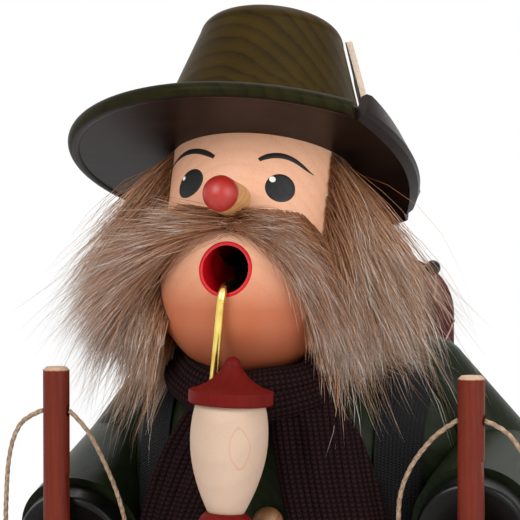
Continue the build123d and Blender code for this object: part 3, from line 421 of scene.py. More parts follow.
# %% Wood grain group
def make_wood_group():
    """Rings, fibres and mottle of a piece of timber whose pith runs along Z."""
    group, given, result = new_group(
        "wood_grain",
        [("Vector", "NodeSocketVector", None), ("Ring width", "NodeSocketFloat", 2.0),
         ("Wobble", "NodeSocketFloat", 3.0)],
        [("Rings", "NodeSocketFloat"), ("Fibres", "NodeSocketFloat"), ("Mottle", "NodeSocketFloat")])
    place = vectors(group, "MULTIPLY", given.outputs["Vector"], (1000, 1000, 1000))
    drift = add_node(group, "ShaderNodeTexNoise", {"Vector": place, "Scale": 0.045, "Detail": 3.0})
    drift = vectors(group, "SUBTRACT", drift.outputs[1], (0.5, 0.5, 0.5))
    bent = vectors(group, "ADD", place, vectors(group, "SCALE", drift, scale=given.outputs["Wobble"]))
    away = vectors(group, "LENGTH", vectors(group, "MULTIPLY", bent, (1, 1, 0)))
    phase = sums(group, "FRACT", sums(group, "DIVIDE", away, given.outputs["Ring width"]))
    late = sums(group, "POWER", phase, 2.4)
    early = sums(group, "MULTIPLY", sums(group, "POWER", sums(group, "SUBTRACT", 1.0, phase), 9.0), 0.8)
    along = vectors(group, "MULTIPLY", bent, (2.6, 2.6, 0.11))
    fibres = add_node(group, "ShaderNodeTexNoise", {"Vector": along, "Scale": 1.0, "Detail": 5.0,
                                                    "Roughness": 0.62}).outputs[0]
    fill(group, result.inputs["Rings"], sums(group, "ADD", late, early, clamp=True))
    fill(group, result.inputs["Fibres"], fibres)
    fill(group, result.inputs["Mottle"], noise(group, place, 0.11, 2.0))
    return group


wood_group = make_wood_group()
print("wood group with", len(wood_group.nodes), "nodes")

# %% [markdown]
# ## Stain over wood
# Stain sinks deeper into early wood and pores than into late wood, so a stained piece is a pale and a dark
# shade of one colour, shared out by the grain. Each finish turns and shifts the pith to suit how its piece
# was cut from the board, and sets how satin its lacquer is.

# %% Wood finish
STAIN_START, GLOSS_SPREAD, PORE_DEPTH = 0.22, 0.25, 0.0004


def wood_finish(name, pale, dark, ring=2.2, wobble=4.0, turn=(0, 0, 0), shift=(35, 12, 0), ring_share=0.55,
                fibre_share=0.9, mottle_share=0.6, roughness=0.45, shine=0.5, bump=0.25):
    """A stained or bare wood with its pith turned and shifted, in degrees and millimetres."""
    made, tree, shader = new_material(name)
    cut = {"Vector": place_of(tree), "Location": [value * MM for value in shift],
           "Rotation": [math.radians(value) for value in turn]}
    place = add_node(tree, "ShaderNodeMapping", cut).outputs[0]
    grain = use_group(tree, wood_group, {"Vector": place, "Ring width": ring, "Wobble": wobble})
    fibres = sums(tree, "SUBTRACT", grain["Fibres"], 0.5)
    mottle = sums(tree, "SUBTRACT", grain["Mottle"], 0.5)
    share = sums(tree, "MULTIPLY", grain["Rings"], ring_share)
    share = sums(tree, "MULTIPLY_ADD", fibres, fibre_share, share)
    share = sums(tree, "MULTIPLY_ADD", mottle, mottle_share, share)
    share = sums(tree, "ADD", share, STAIN_START, clamp=True)
    colour = mix_colours(tree, share, srgb(*pale), srgb(*dark))
    gloss = sums(tree, "MULTIPLY_ADD", fibres, GLOSS_SPREAD, roughness, clamp=True)
    dress(tree, shader, {"Base Color": colour, "Roughness": gloss, "Specular IOR Level": shine})
    add_bump(tree, shader, grain["Fibres"], bump, PORE_DEPTH)
    return made, tree, shader, colour


def paint_nodes(material, *names):
    """Gives CAD nodes a finish in place of their own."""
    for name in names:
        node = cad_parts[name]
        node.data.materials.clear()
        node.data.materials.append(material)


def paint_faces(material, name, picks):
    """A second finish on those faces of a CAD node that a test picks."""
    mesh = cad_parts[name].data
    mesh.materials.append(material)
    picked = [face for face in mesh.polygons if picks(face)]
    for face in picked:
        face.material_index = 1
    print(len(picked), "faces of", name, "painted with", material.name)


print("wood finish ready")

# %% [markdown]
# ## Stained pieces
# The coat and sleeves are stained bottle green, the hat olive, pipe lid and foot oxblood, the pack a dark
# red-brown; dowels, base and feather are bare wood. All are the same recipe with other shades, so
# they stand in one table rather than in a function each.

# %% Stained pieces
HEAD_TURN = 24
hat_grain = {"ring": 4.2, "wobble": 6, "turn": (-HEAD_TURN + 6, 8, 0), "shift": (14, 30, 0),
             "ring_share": 0.45, "roughness": 0.4, "shine": 0.04, "bump": 0.12}
stains = (
    ("green_wood", ("coat", "left_sleeve", "right_sleeve"), (31, 38, 20), (9, 13, 7),
     {"ring": 2.6, "wobble": 9, "turn": (24, 30, 0), "shift": (60, 20, 0), "ring_share": 0.4,
      "roughness": 0.36, "shine": 0.08}),
    ("raw_wood", ("neck_tube", "hat_dowel", "left_arm_dowel", "right_arm_dowel"),
     (248, 232, 208), (230, 200, 164),
     {"ring": 3.4, "wobble": 5, "turn": (4, 6, 0), "shift": (14, 40, 0), "ring_share": 0.22,
      "fibre_share": 0.5, "roughness": 0.55, "bump": 0.1}),
    ("mitten_wood", ("left_mitten", "right_mitten"), (136, 46, 36), (84, 22, 18),
     {"ring": 2.4, "turn": (70, 10, 0), "shift": (30, 30, 0), "roughness": 0.4}),
    ("oxblood_wood", ("pipe_lid", "pipe_foot"), (108, 17, 11), (78, 10, 7),
     {"turn": (6, 4, 0), "shift": (24, 70, 0), "ring_share": 0.3, "roughness": 0.5, "shine": 0.1}),
    ("button_wood", ("coat_buttons",), (150, 104, 64), (92, 58, 32),
     {"ring": 1.4, "turn": (60, 0, 0), "shift": (10, 60, 0), "roughness": 0.42}),
    ("pack_wood", ("pack",), (80, 28, 22), (48, 16, 13),
     {"ring": 3.2, "wobble": 8, "turn": (4, 78, 0), "shift": (0, 30, 0), "roughness": 0.6, "shine": 0.02}),
    ("base_wood", ("base_plate",), (206, 164, 116), (160, 112, 70),
     {"ring": 3.6, "wobble": 9, "turn": (0, 88, 0), "shift": (-22, 20, 0), "roughness": 0.4}),
    ("trouser_wood", ("left_leg", "right_leg", "hips"), (98, 72, 52), (56, 38, 27),
     {"ring": 2.6, "turn": (5, 3, 0), "shift": (26, 30, 0), "roughness": 0.46}),
    ("feather_wood", ("hat_feather",), (232, 212, 192), (200, 174, 148),
     {"ring": 1.4, "wobble": 1.2, "turn": (-HEAD_TURN, 0, 0), "shift": (-20, 5, 0), "ring_share": 0.25,
      "roughness": 0.6}),
    ("crown_wood", ("hat_crown",), (64, 48, 12), (19, 15, 5), hat_grain),
    ("brim_wood", ("hat_brim",), (40, 37, 14), (15, 15, 6), hat_grain),
)
for name, nodes, pale, dark, grain in stains:
    paint_nodes(wood_finish(name, pale, dark, **grain)[0], *nodes)
print(len(stains), "woods painted")

# %% [markdown]
# ## Underside of the brim
# Below, the brim and its turned-up flap are painted near-black brown as shade, glossier than the olive
# above, with faint saw lines. The brim is one turned piece, so the change is no seam in the CAD model: those
# of its faces that look down along the hat's axis get this painted shade as a second finish, and the flap
# gets it all over.

# %% Brim underside
UNDER_LIMIT = -0.93
hat_axis = Vector((0, math.sin(math.radians(HEAD_TURN)), math.cos(math.radians(HEAD_TURN))))


def underside_shade_finish():
    """Painted shade: near-black brown gloss with faint saw lines across the board."""
    made, tree, shader = new_material("brim_underside_shade")
    lines = noise(tree, vectors(tree, "MULTIPLY", place_of(tree), (0.05, 1.0, 1.0)), 900.0, 3.0)
    dress(tree, shader, {"Base Color": ramp(tree, lines, [(0.3, (15, 9, 7)), (0.7, (34, 19, 15))]),
                         "Roughness": sums(tree, "MULTIPLY_ADD", lines, 0.2, 0.26),
                         "Specular IOR Level": 0.11})
    add_bump(tree, shader, lines, 0.05, 0.0003)
    return made


underside_shade = underside_shade_finish()
# painted shade: the brim's faces that look down, and the whole flap, get the near-black finish
paint_faces(underside_shade, "hat_brim", lambda face: face.normal.dot(hat_axis) < UNDER_LIMIT)
paint_nodes(underside_shade, "hat_flap")

# %% [markdown]
# ## Poles
# The poles are dowels stained red-brown and then cut to length, so their ends are pale bare wood. A
# separate disc for the end could come loose from the pole; a change of colour above a height can't. A
# little noise on that height makes the edge ragged, as a saw leaves it.

# %% Poles
SAWN_START, SAWN_END = 1.0, 0.6


def pole_finish():
    """Red-brown stain with a pale sawn end."""
    made, tree, shader, stained = wood_finish("pole_wood", (110, 39, 23), (75, 23, 13), ring=1.6, wobble=2,
                                              turn=(0, 1, 0), shift=(20, 64, 0), ring_share=0.3,
                                              fibre_share=1.2, roughness=0.5, shine=0.16)
    place = place_of(tree)
    grain = noise(tree, place, 900.0, 4.0)
    height = sums(tree, "MULTIPLY_ADD", sums(tree, "SUBTRACT", grain, 0.5), 0.0006, parts_of(tree, place)[2])
    sawn = between(tree, height, (POLE_TOP - SAWN_START) * MM, (POLE_TOP - SAWN_END) * MM)
    end_grain = mix_colours(tree, grain, srgb(214, 182, 154), srgb(176, 138, 110))
    dress(tree, shader, {"Base Color": mix_colours(tree, sawn, stained, end_grain)})
    return made


paint_nodes(pole_finish(), "left_pole", "right_pole")
print("poles are pale above", POLE_TOP - SAWN_START, "mm")

# %% [markdown]
# ## Pipe bowl
# The bowl is bare lime wood, peach-white and finely speckled, and on its face the lathe has cut one growth
# ring so that it shows as a faint oval. Chance rings from the wood group wouldn't fall there, so the oval
# is drawn by itself: the distance from its middle, made a little uneven, picks out a thin line.

# %% Pipe bowl
OVAL_MIDDLE, OVAL_HALF, OVAL_DEPTH = (0.6, -61.0, 186.3), (2.3, 5.0), 5.0


def bowl_finish():
    """Bare lime wood with fine speckle and one faint oval ring on the face."""
    made, tree, shader, colour = wood_finish("bowl_wood", (200, 172, 150), (182, 151, 128), ring=5.5,
                                             wobble=7, turn=(38, 0, 0), shift=(2, 46, 0), ring_share=0.2,
                                             fibre_share=0.45, mottle_share=0.4, roughness=0.6, bump=0.1)
    place = place_of(tree)
    speckle = between(tree, noise(tree, place, 1300.0, 3.0), 0.58, 0.72)
    colour = mix_colours(tree, sums(tree, "MULTIPLY", speckle, 0.3), colour, srgb(190, 156, 124))
    left, back, height = parts_of(tree, place)
    aside = sums(tree, "DIVIDE", sums(tree, "SUBTRACT", left, OVAL_MIDDLE[0] * MM), OVAL_HALF[0] * MM)
    rise = sums(tree, "DIVIDE", sums(tree, "SUBTRACT", height, OVAL_MIDDLE[2] * MM), OVAL_HALF[1] * MM)
    away = sums(tree, "SQRT", sums(tree, "MULTIPLY_ADD", aside, aside, sums(tree, "MULTIPLY", rise, rise)))
    drift = sums(tree, "SUBTRACT", noise(tree, place, 330.0, 2.0), 0.5)
    away = sums(tree, "MULTIPLY_ADD", drift, 0.5, away)
    line = between(tree, sums(tree, "ABSOLUTE", sums(tree, "SUBTRACT", away, 1.0)), 0.11, 0.03)
    front = sums(tree, "LESS_THAN", back, (OVAL_MIDDLE[1] + OVAL_DEPTH) * MM)
    line = sums(tree, "MULTIPLY", sums(tree, "MULTIPLY", line, front), 0.5)
    dress(tree, shader, {"Base Color": mix_colours(tree, line, colour, srgb(196, 140, 106))})
    return made


paint_nodes(bowl_finish(), "pipe_bowl")
print("oval on the bowl", 2 * OVAL_HALF[0], "by", 2 * OVAL_HALF[1], "mm")

# %% [markdown]
# ## Lacquer and brass
# Shoes, glove cuffs and the pack's knobs are dipped in a near-black lacquer that pools a little unevenly;
# a coat over the base colour gives that second, sharper shine. The pipe's stem and the tray are brass,
# drawn and pressed, so the finish is a metal whose roughness carries fine scratches along the wire.

# %% Lacquer and brass
def lacquer_finish():
    """Near-black lacquer with a faint green cast and slight orange peel."""
    made, tree, shader = new_material("black_lacquer")
    place = place_of(tree)
    broad = noise(tree, place, 140.0, 3.0)
    dress(tree, shader, {"Base Color": ramp(tree, broad, [(0.3, (7, 8, 7)), (0.7, (16, 17, 15))]),
                         "Roughness": sums(tree, "MULTIPLY_ADD", broad, 0.25, 0.2),
                         "Specular IOR Level": 0.14, "Coat Weight": 0.06, "Coat Roughness": 0.12})
    add_bump(tree, shader, noise(tree, place, 700.0, 2.0), 0.08, 0.0003)
    return made


def brass_finish():
    """Drawn brass: yellow metal with faint scratches and tarnish."""
    made, tree, shader = new_material("brass")
    place = place_of(tree)
    scratch = noise(tree, vectors(tree, "MULTIPLY", place, (1.0, 1.0, 0.08)), 4200.0, 3.0)
    colour = ramp(tree, noise(tree, place, 160.0, 3.0),
                  [(0.3, (212, 178, 86)), (0.6, (240, 214, 122)), (0.8, (184, 144, 64))])
    dress(tree, shader, {"Base Color": colour, "Metallic": 1.0,
                         "Roughness": sums(tree, "MULTIPLY_ADD", scratch, 0.22, 0.1)})
    return made


paint_nodes(lacquer_finish(), "left_shoe", "right_shoe", "left_cuff", "right_cuff", "pack_knobs")
paint_nodes(brass_finish(), "pipe_stem", "incense_tray", "tray_nail")
print("lacquer and brass done")

# %% [markdown]
# ## The head's own frame
# The head leans back under the hat, and nose, eyes, brows and hair all sit on it. Placing them in the
# upright frame would mean a new sum for each, so points are given on the head itself, as an angle from the
# face's front and a height along its axis, and then carried over. Above its middle the head is a
# cylinder, below it a ball.

# %% Head frame
HEAD_MIDDLE = np.array([-7.0, -20.0, 224.6])
HEAD_RADIUS, HEAD_TOP = 24.2, 34.1
lean = math.radians(HEAD_TURN)
HEAD_AXES = np.array([[1, 0, 0], [0, math.cos(lean), -math.sin(lean)], [0, math.sin(lean), math.cos(lean)]])


def to_head(points):
    """Millimetres of the figure's frame as the head's own: left, back, up."""
    return (points - HEAD_MIDDLE) @ HEAD_AXES.T


def from_head(local):
    """The head's own millimetres in the figure's frame."""
    return HEAD_MIDDLE + np.asarray(local, float) @ HEAD_AXES


def on_head(turn, height, proud=0.0):
    """Points on the head at an angle in degrees from the face's front and a height, raised by proud."""
    turn, height = np.radians(np.asarray(turn, float)), np.asarray(height, float)
    radius = np.where(height >= 0, HEAD_RADIUS, np.sqrt(np.maximum(HEAD_RADIUS ** 2 - height ** 2, 0)))
    grow = 1 + np.asarray(proud) / HEAD_RADIUS
    rise = np.where(height >= 0, height, height * grow)
    return from_head(np.stack([radius * grow * np.sin(turn), -radius * grow * np.cos(turn), rise], axis=-1))


def head_outward(points):
    """Unit directions straight out of the head at points near it."""
    local = to_head(points)
    local[..., 2] = np.minimum(local[..., 2], 0)
    return unit(local) @ HEAD_AXES


print("head middle at", HEAD_MIDDLE)

# %% [markdown]
# ## Skin
# The head is clear-lacquered pale wood with a rosy tint, finely speckled where the brush left pigment in
# the pores. Two soft steps of colour over height make it deeper in tone towards the jaw and, as painted
# shade, darker still under the chin. A little light passes under the surface, as it does in pale lacquered
# wood.

# %% Skin
JAW_HEIGHTS, CHIN_SHADE_HEIGHTS = (0.236, 0.220), (0.216, 0.203)


def skin_finish():
    """Pale tinted wood with fine speckle, a deeper tone towards the jaw and painted shade under the chin."""
    made, tree, shader, colour = wood_finish("skin_wood", (232, 181, 148), (215, 153, 120), ring=3.2,
                                             wobble=5, turn=(-HEAD_TURN, 0, 0), shift=(8, 42, 0),
                                             ring_share=0.25, fibre_share=0.5, mottle_share=0.4,
                                             roughness=0.42, shine=0.25, bump=0.1)
    place = place_of(tree)
    height = parts_of(tree, place)[2]
    speckle = between(tree, noise(tree, place, 2400.0, 3.0), 0.5, 0.72)
    # the jaw step deepens the tone; the chin step is painted shade under the head's ball
    tones = ((speckle, 0.25, (196, 128, 94)), (between(tree, height, *JAW_HEIGHTS), 0.85, (176, 87, 47)),
             (between(tree, height, *CHIN_SHADE_HEIGHTS), 0.8, (120, 50, 26)))
    for where, strength, shade in tones:
        colour = mix_colours(tree, sums(tree, "MULTIPLY", where, strength), colour, srgb(*shade))
    dress(tree, shader, {"Base Color": colour, "Subsurface Weight": 0.05,
                         "Subsurface Radius": (0.002, 0.001, 0.0006)})
    return made


paint_nodes(skin_finish(), "head")
print("skin on the head")

# %% [markdown]
# ## Inside the mouth
# The smoke leaves by a drilled hole. Red paint has run into it, and painted shade darkens it to black towards
# its far side and floor and in the way behind it. The bore belongs to the head's mesh, so its faces are found
# by their distance from the bore's axis and from the smoke way's, and get a dull finish without any shine.

# %% Mouth bore
MOUTH_MIDDLE = np.array([-7.8, 0.0, 230.8])
MOUTH_RADIUS, MOUTH_FLOOR, MOUTH_LIP = 6.2, -30.4, -45.5
BORE_SLACK, FLOOR_SLACK = 0.05, 4
NECK_WAY = (0.155, 0.665, -0.731)
WAY_RADIUS, WAY_START = 3.7, -14
SHADE_SIDE = 1.4


def bore_finish():
    """Dull red paint in the mouth's bore, turned to black by painted shade on its far side and floor."""
    made, tree, shader = new_material("mouth_bore")
    left, back, _ = parts_of(tree, place_of(tree))
    depth = between(tree, back, MOUTH_LIP * MM, MOUTH_FLOOR * MM)
    side = between(tree, left, (MOUTH_MIDDLE[0] - MOUTH_RADIUS) * MM, (MOUTH_MIDDLE[0] + SHADE_SIDE) * MM)
    # painted shade: darker towards the far side of the bore and deeper into it
    bore_shade = sums(tree, "MULTIPLY_ADD", depth, 0.25, sums(tree, "MULTIPLY", side, 0.75))
    colour = ramp(tree, bore_shade, [(0.0, (214, 20, 34)), (0.3, (180, 12, 24)), (0.55, (88, 8, 14)),
                               (0.85, (11, 5, 6))])
    dress(tree, shader, {"Base Color": colour, "Roughness": 0.9, "Specular IOR Level": 0.0})
    return made


def in_bore(face):
    """Whether a face of the head lies in the mouth's bore or in the smoke way behind it."""
    middle = np.array(face.center) / MM
    from_mouth = np.hypot(middle[0] - MOUTH_MIDDLE[0], middle[2] - MOUTH_MIDDLE[2])
    if from_mouth < MOUTH_RADIUS + BORE_SLACK and middle[1] < MOUTH_FLOOR + FLOOR_SLACK:
        return True
    way = middle - HEAD_MIDDLE
    return np.linalg.norm(np.cross(way, NECK_WAY)) < WAY_RADIUS and np.dot(way, NECK_WAY) > WAY_START


paint_faces(bore_finish(), "head", in_bore)

# %% [markdown]
# ## Nose
# The nose is a turned peg whose domed end is dipped in red; a ragged edge shows where the dip stops. The
# dip is a distance along the peg's own axis, with noise added, so the edge stays square to the peg however
# it leans.

# %% Nose
NOSE_DIPPED, NOSE_EDGE, NOSE_RAGGED = 7.6, 0.4, 0.0012
nose_turn, nose_dip = math.radians(7.6), math.radians(9.3)
nose_axis = np.array([-math.sin(nose_turn) * math.cos(nose_dip), -math.cos(nose_turn) * math.cos(nose_dip),
                      -math.sin(nose_dip)]) @ HEAD_AXES
nose_seat = from_head([-0.6, -HEAD_RADIUS, 15.2])


def nose_finish():
    """Bare wood whose end is dipped in red up to a ragged edge along the peg's axis."""
    made, tree, shader, bare = wood_finish("nose_wood", (226, 172, 112), (190, 132, 78), ring=1.8, wobble=3,
                                           turn=(60, 0, 0), shift=(14, 8, 0), roughness=0.4, bump=0.12)
    place = place_of(tree)
    along = vectors(tree, "SUBTRACT", place, tuple(nose_seat * MM))
    along = vectors(tree, "DOT_PRODUCT", along, tuple(nose_axis))
    ragged = noise(tree, place, 700.0, 3.0)
    along = sums(tree, "MULTIPLY_ADD", sums(tree, "SUBTRACT", ragged, 0.5), NOSE_RAGGED, along)
    dipped = between(tree, along, (NOSE_DIPPED - NOSE_EDGE) * MM, (NOSE_DIPPED + NOSE_EDGE) * MM)
    red = mix_colours(tree, ragged, srgb(180, 44, 35), srgb(153, 32, 26))
    dress(tree, shader, {"Base Color": mix_colours(tree, dipped, bare, red)})
    return made


paint_nodes(nose_finish(), "nose")
print("nose points along", np.round(nose_axis, 3))

# %% [markdown]
# ## Painted face
# Eyes and brows are brush strokes of black paint on the turned head. They could be a change of colour in
# the wood's shader, but paint stands a little proud and catches the light at its rim, so each is a thin
# lens of paint that follows the head's round.

# %% Face paint
DEGREES_PER_MM = math.degrees(1 / HEAD_RADIUS)
SPOT_POINTS, STROKE_STEPS, STROKE_BENDS = 48, 48, 4
SPOT_SECTION = [(0.02, 1.0), (0.3, 0.99), (0.6, 0.95), (0.85, 0.85), (0.95, 0.6), (1.0, 0.1), (1.0, -2.0),
                (0.02, -2.0)]
STROKE_SECTION = [(-1, -0.2), (-1, 0.1), (-0.7, 0.8), (0, 1), (0.7, 0.8), (1, 0.1), (1, -0.2)]


def paint_finish(name, pale, dark, roughness):
    """Brushed paint with a slight unevenness."""
    made, tree, shader = new_material(name)
    stroke = noise(tree, place_of(tree), 900.0, 3.0)
    dress(tree, shader, {"Base Color": ramp(tree, stroke, [(0.3, dark), (0.75, pale)]),
                         "Roughness": roughness, "Specular IOR Level": 0.25})
    add_bump(tree, shader, stroke, 0.1, 0.0002)
    return made


def paint_spot(name, middle, half_width, half_height, slant, proud, finish, lift=0.0):
    """An oval drop of paint on the head, closed underneath."""
    around = np.linspace(0, 2 * np.pi, SPOT_POINTS, endpoint=False)
    x, y = half_width * np.cos(around), half_height * np.sin(around)
    tilt = math.radians(slant)
    x, y = x * math.cos(tilt) - y * math.sin(tilt), x * math.sin(tilt) + y * math.cos(tilt)
    rings = [on_head(middle[0] + share * x * DEGREES_PER_MM, middle[1] + share * y, lift + proud * rise)
             for share, rise in SPOT_SECTION]
    make_piece(name, np.concatenate(rings) * MM, capped_faces(len(SPOT_SECTION), SPOT_POINTS), "skin_wood",
               "figure", finish)


def paint_stroke(name, line, widths, proud, finish):
    """A tapering brush stroke along points given as angle and height on the head."""
    steps, given = np.linspace(0, 1, STROKE_STEPS), np.linspace(0, 1, len(line))
    turn, height = (np.poly1d(np.polyfit(given, values, STROKE_BENDS))(steps) for values in np.array(line).T)
    half = np.interp(steps, np.linspace(0, 1, len(widths)), widths) / 2
    run = unit(np.stack([np.gradient(turn) / DEGREES_PER_MM, np.gradient(height)], axis=1))
    columns = [on_head(turn - run[:, 1] * half * side * DEGREES_PER_MM, height + run[:, 0] * half * side,
                       proud * rise) for side, rise in STROKE_SECTION]
    points = np.stack(columns, axis=1).reshape(-1, 3)
    faces = capped_faces(STROKE_STEPS, len(STROKE_SECTION))
    make_piece(name, points * MM, faces, "skin_wood", "figure", finish)


print("paint helpers ready")

# %% [markdown]
# ## Eyes and brows
# Each eye is a black oval with a dot of white as its light, and each brow is one stroke that thins towards
# the temple. Both could be drawn flat and projected onto the head; here they are given as an angle and a
# height on it, so they stay true from every side.

# %% Eyes and brows
eye_black = paint_finish("eye_paint", (32, 30, 32), (15, 14, 15), 0.42)
eye_white = paint_finish("eye_light_paint", (246, 242, 236), (226, 218, 208), 0.4)
brow_black = paint_finish("brow_paint", (24, 18, 16), (12, 9, 8), 0.5)
paint_spot("right_eye", (-34.4, 21.4), 4.65, 3.86, 13, 0.10, eye_black)
paint_spot("left_eye", (27.4, 19.8), 4.1, 3.85, 12, 0.10, eye_black)
paint_spot("right_eye_light", (-40.8, 23.4), 0.6, 0.55, 0, 0.08, eye_white, 0.09)
paint_spot("left_eye_light", (21.9, 21.8), 0.85, 0.8, 0, 0.08, eye_white, 0.09)
paint_stroke("right_brow", [(-62.2, 29.1), (-49.1, 30.3), (-39.4, 30.8), (-29.9, 30.0), (-22.7, 29.0),
                            (-16.9, 27.6)], [0.35, 1.05, 1.45, 1.5, 1.5, 1.0], 0.08, brow_black)
paint_stroke("left_brow", [(12.5, 26.7), (17.0, 27.9), (24.7, 28.6), (32.9, 28.4), (40.9, 27.0),
                           (49.1, 25.7)], [1.0, 1.45, 1.5, 1.35, 1.0, 0.2], 0.08, brow_black)
print("two eyes and two brows painted")

# %% [markdown]
# ## Rim of the mouth
# The rim of the hole is painted red with a brush, which leaves a slightly raised ring. A torus would float
# off the round head or sink into it, so the ring's section is carried round the hole on the head's own
# surface, found by halving steps from outside and inside.

# %% Mouth rim
LIP_POINTS, HALVINGS = 96, 40
LIP_SECTION = ((0.98, -0.4), (0.92, 0.07), (0.5, 0.2), (0.12, 0.14), (-0.05, -0.1), (-0.05, -0.9),
               (0.4, -0.9))
FORWARD = np.array([0, -1.0, 0])


def head_reach(local):
    """Distances from the axis above the head's middle, and from the middle itself below it."""
    from_axis = np.hypot(local[..., 0], local[..., 1])
    return np.where(local[..., 2] >= 0, from_axis, np.linalg.norm(local, axis=-1))


def head_front(x, z):
    """The head's front surface straight behind points given as x and z."""
    near, far = np.full_like(x, -60.0), np.full_like(x, HEAD_MIDDLE[1])
    for _ in range(HALVINGS):
        middle = (near + far) / 2
        inside = head_reach(to_head(np.stack([x, middle, z], axis=-1))) < HEAD_RADIUS
        far = np.where(inside, middle, far)
        near = np.where(inside, near, middle)
    return (near + far) / 2


around = np.linspace(0, 2 * np.pi, LIP_POINTS, endpoint=False)
lip_rows = []
for grown, proud in LIP_SECTION:
    x = MOUTH_MIDDLE[0] + (MOUTH_RADIUS + grown) * np.cos(around)
    z = MOUTH_MIDDLE[2] + (MOUTH_RADIUS + grown) * np.sin(around)
    lip_rows.append(np.stack([x, head_front(x, z), z], axis=1) + FORWARD * proud)
lip_faces = grid_faces(len(LIP_SECTION), LIP_POINTS, round_rows=True, round_columns=True)
lip_red = paint_finish("lip_paint", (212, 18, 32), (188, 10, 22), 0.45)
make_piece("mouth_lip", np.concatenate(lip_rows) * MM, lip_faces, "skin_wood", "figure", lip_red)
print("mouth", 2 * MOUTH_RADIUS, "mm wide")

# %% [markdown]
# ## Space that hair keeps out of
# Hair lies on the head, the hat's underside and the shoulders and doesn't pass through them. Blender's
# hair physics could collide with meshes, but slowly and not the same each time. The coat is a turned shape
# with a known profile and the head a known round, so strands are pushed out of both by a short sum.

# %% Space that hair keeps out of
TORSO_Y, CHEST_RADIUS, CHEST_HEIGHT, SIDE_ARC = 10.0, 46.0, 145.0, 420.0
SHOULDER_JOIN, SHOULDER_ARC = 180.0, 30.0
COAT_ROOM, PUSH_TOP, ROOF_LOW, ROOF_REACH, BRIM_ROOM = 2.6, 20, 12, 40, 0.2
side_middle = CHEST_RADIUS - SIDE_ARC
join_turn = math.asin((SHOULDER_JOIN - CHEST_HEIGHT) / SIDE_ARC)
round_middle = side_middle + SIDE_ARC * math.cos(join_turn) - SHOULDER_ARC * math.cos(join_turn)
round_height = SHOULDER_JOIN - SHOULDER_ARC * math.sin(join_turn)


def coat_radius(height, shift=0.0):
    """The coat's radius at heights in millimetres, on a skin that lies shift outside it."""
    height = np.asarray(height, float)
    join = CHEST_HEIGHT + (SIDE_ARC + shift) * math.sin(join_turn)
    side = side_middle + np.sqrt(np.maximum((SIDE_ARC + shift) ** 2 - (height - CHEST_HEIGHT) ** 2, 0))
    above = (SHOULDER_ARC + shift) ** 2 - (height - round_height) ** 2
    bend = np.where(above >= 0, round_middle + np.sqrt(np.maximum(above, 0)), 0)
    return np.where(height <= join, side, bend)


def keep_out(points, clear):
    """Moves points in millimetres off the head, from under the brim's face and off the coat."""
    local = to_head(points)
    above = local[..., 2] >= 0
    grow = np.maximum(1, (HEAD_RADIUS + clear) / np.maximum(head_reach(local), 1e-6))
    local[..., 0] *= grow
    local[..., 1] *= grow
    local[..., 2] = np.where(above, local[..., 2], local[..., 2] * grow)
    local[..., 2] = np.minimum(local[..., 2], HEAD_TOP - BRIM_ROOM)
    points = from_head(local)
    reach = np.hypot(points[..., 0], points[..., 1] - TORSO_Y)
    skin = coat_radius(points[..., 2], COAT_ROOM + clear)
    push = np.where(reach < skin, skin / np.maximum(reach, 1e-6), 1)
    push = np.where(points[..., 2] > round_height + PUSH_TOP, 1, push)
    points[..., 0] *= push
    points[..., 1] = TORSO_Y + (points[..., 1] - TORSO_Y) * push
    over = (reach < ROOF_REACH) & (points[..., 2] > round_height + ROOF_LOW)
    inner = (SHOULDER_ARC + COAT_ROOM + clear) ** 2 - np.maximum(reach - round_middle, 0) ** 2
    roof = round_height + np.sqrt(np.clip(inner, 0, None))
    points[..., 2] = np.where(over, np.maximum(points[..., 2], roof), points[..., 2])
    return points


print("coat top at", round(round_height + SHOULDER_ARC, 1), "mm")

# %% [markdown]
# ## Growing strands
# Hair and moustache on the real figure are strips of long-haired hide glued round the head. A particle
# system draws hair as lines without a body, which no other program can use, so each hair here is a thin
# tapering tube. Strands grow from the hide, bend under their own weight and draw together in tufts.

# %% Growing strands
HAIR_STEPS = 5
GROW_CLEAR, LIE_CLEAR = 0.8, 0.4
DOWN = np.array([0, 0, -1.0])
generator = np.random.default_rng(11)


def grow_strands(roots, ways, lengths, droop, curl):
    """Lines of points from roots along first directions, bending down step by step."""
    lines = [roots]
    ways = unit(ways)
    turns = generator.normal(size=(len(roots), 3)) * curl
    for step in range(HAIR_STEPS):
        ways = unit(ways + DOWN * droop[:, None] + turns * (0.5 + step / HAIR_STEPS))
        lines.append(keep_out(lines[-1] + ways * (lengths / HAIR_STEPS)[:, None], GROW_CLEAR))
    return np.stack(lines, axis=1)


def draw_together(lines, guide_share, strength):
    """Bends each strand towards the nearest of a few guide strands, most at the tip."""
    count = len(lines)
    guides = generator.choice(count, max(4, int(count * guide_share)), replace=False)
    gaps = np.linalg.norm(lines[:, None, 1] - lines[guides][None, :, 1], axis=2)
    nearest = guides[np.argmin(gaps, axis=1)]
    share = (np.linspace(0, 1, lines.shape[1]) ** 1.4)[None, :, None]
    pull = strength * generator.uniform(0.4, 1.0, size=(count, 1, 1)) * share
    return keep_out(lines + (lines[nearest] - lines) * pull, LIE_CLEAR)


print("strands have", HAIR_STEPS, "steps")

# %% [markdown]
# ## Strands as tubes
# Thousands of strands as objects of their own would be slow and unwieldy, so all hairs of one strip are
# one mesh. Each strand is a closed tube with three sides that tapers to its tip, the least that still has
# a body. Its UV map holds a tone for the strand and the place along it.

# %% Strands as tubes
HAIR_TONES = 64


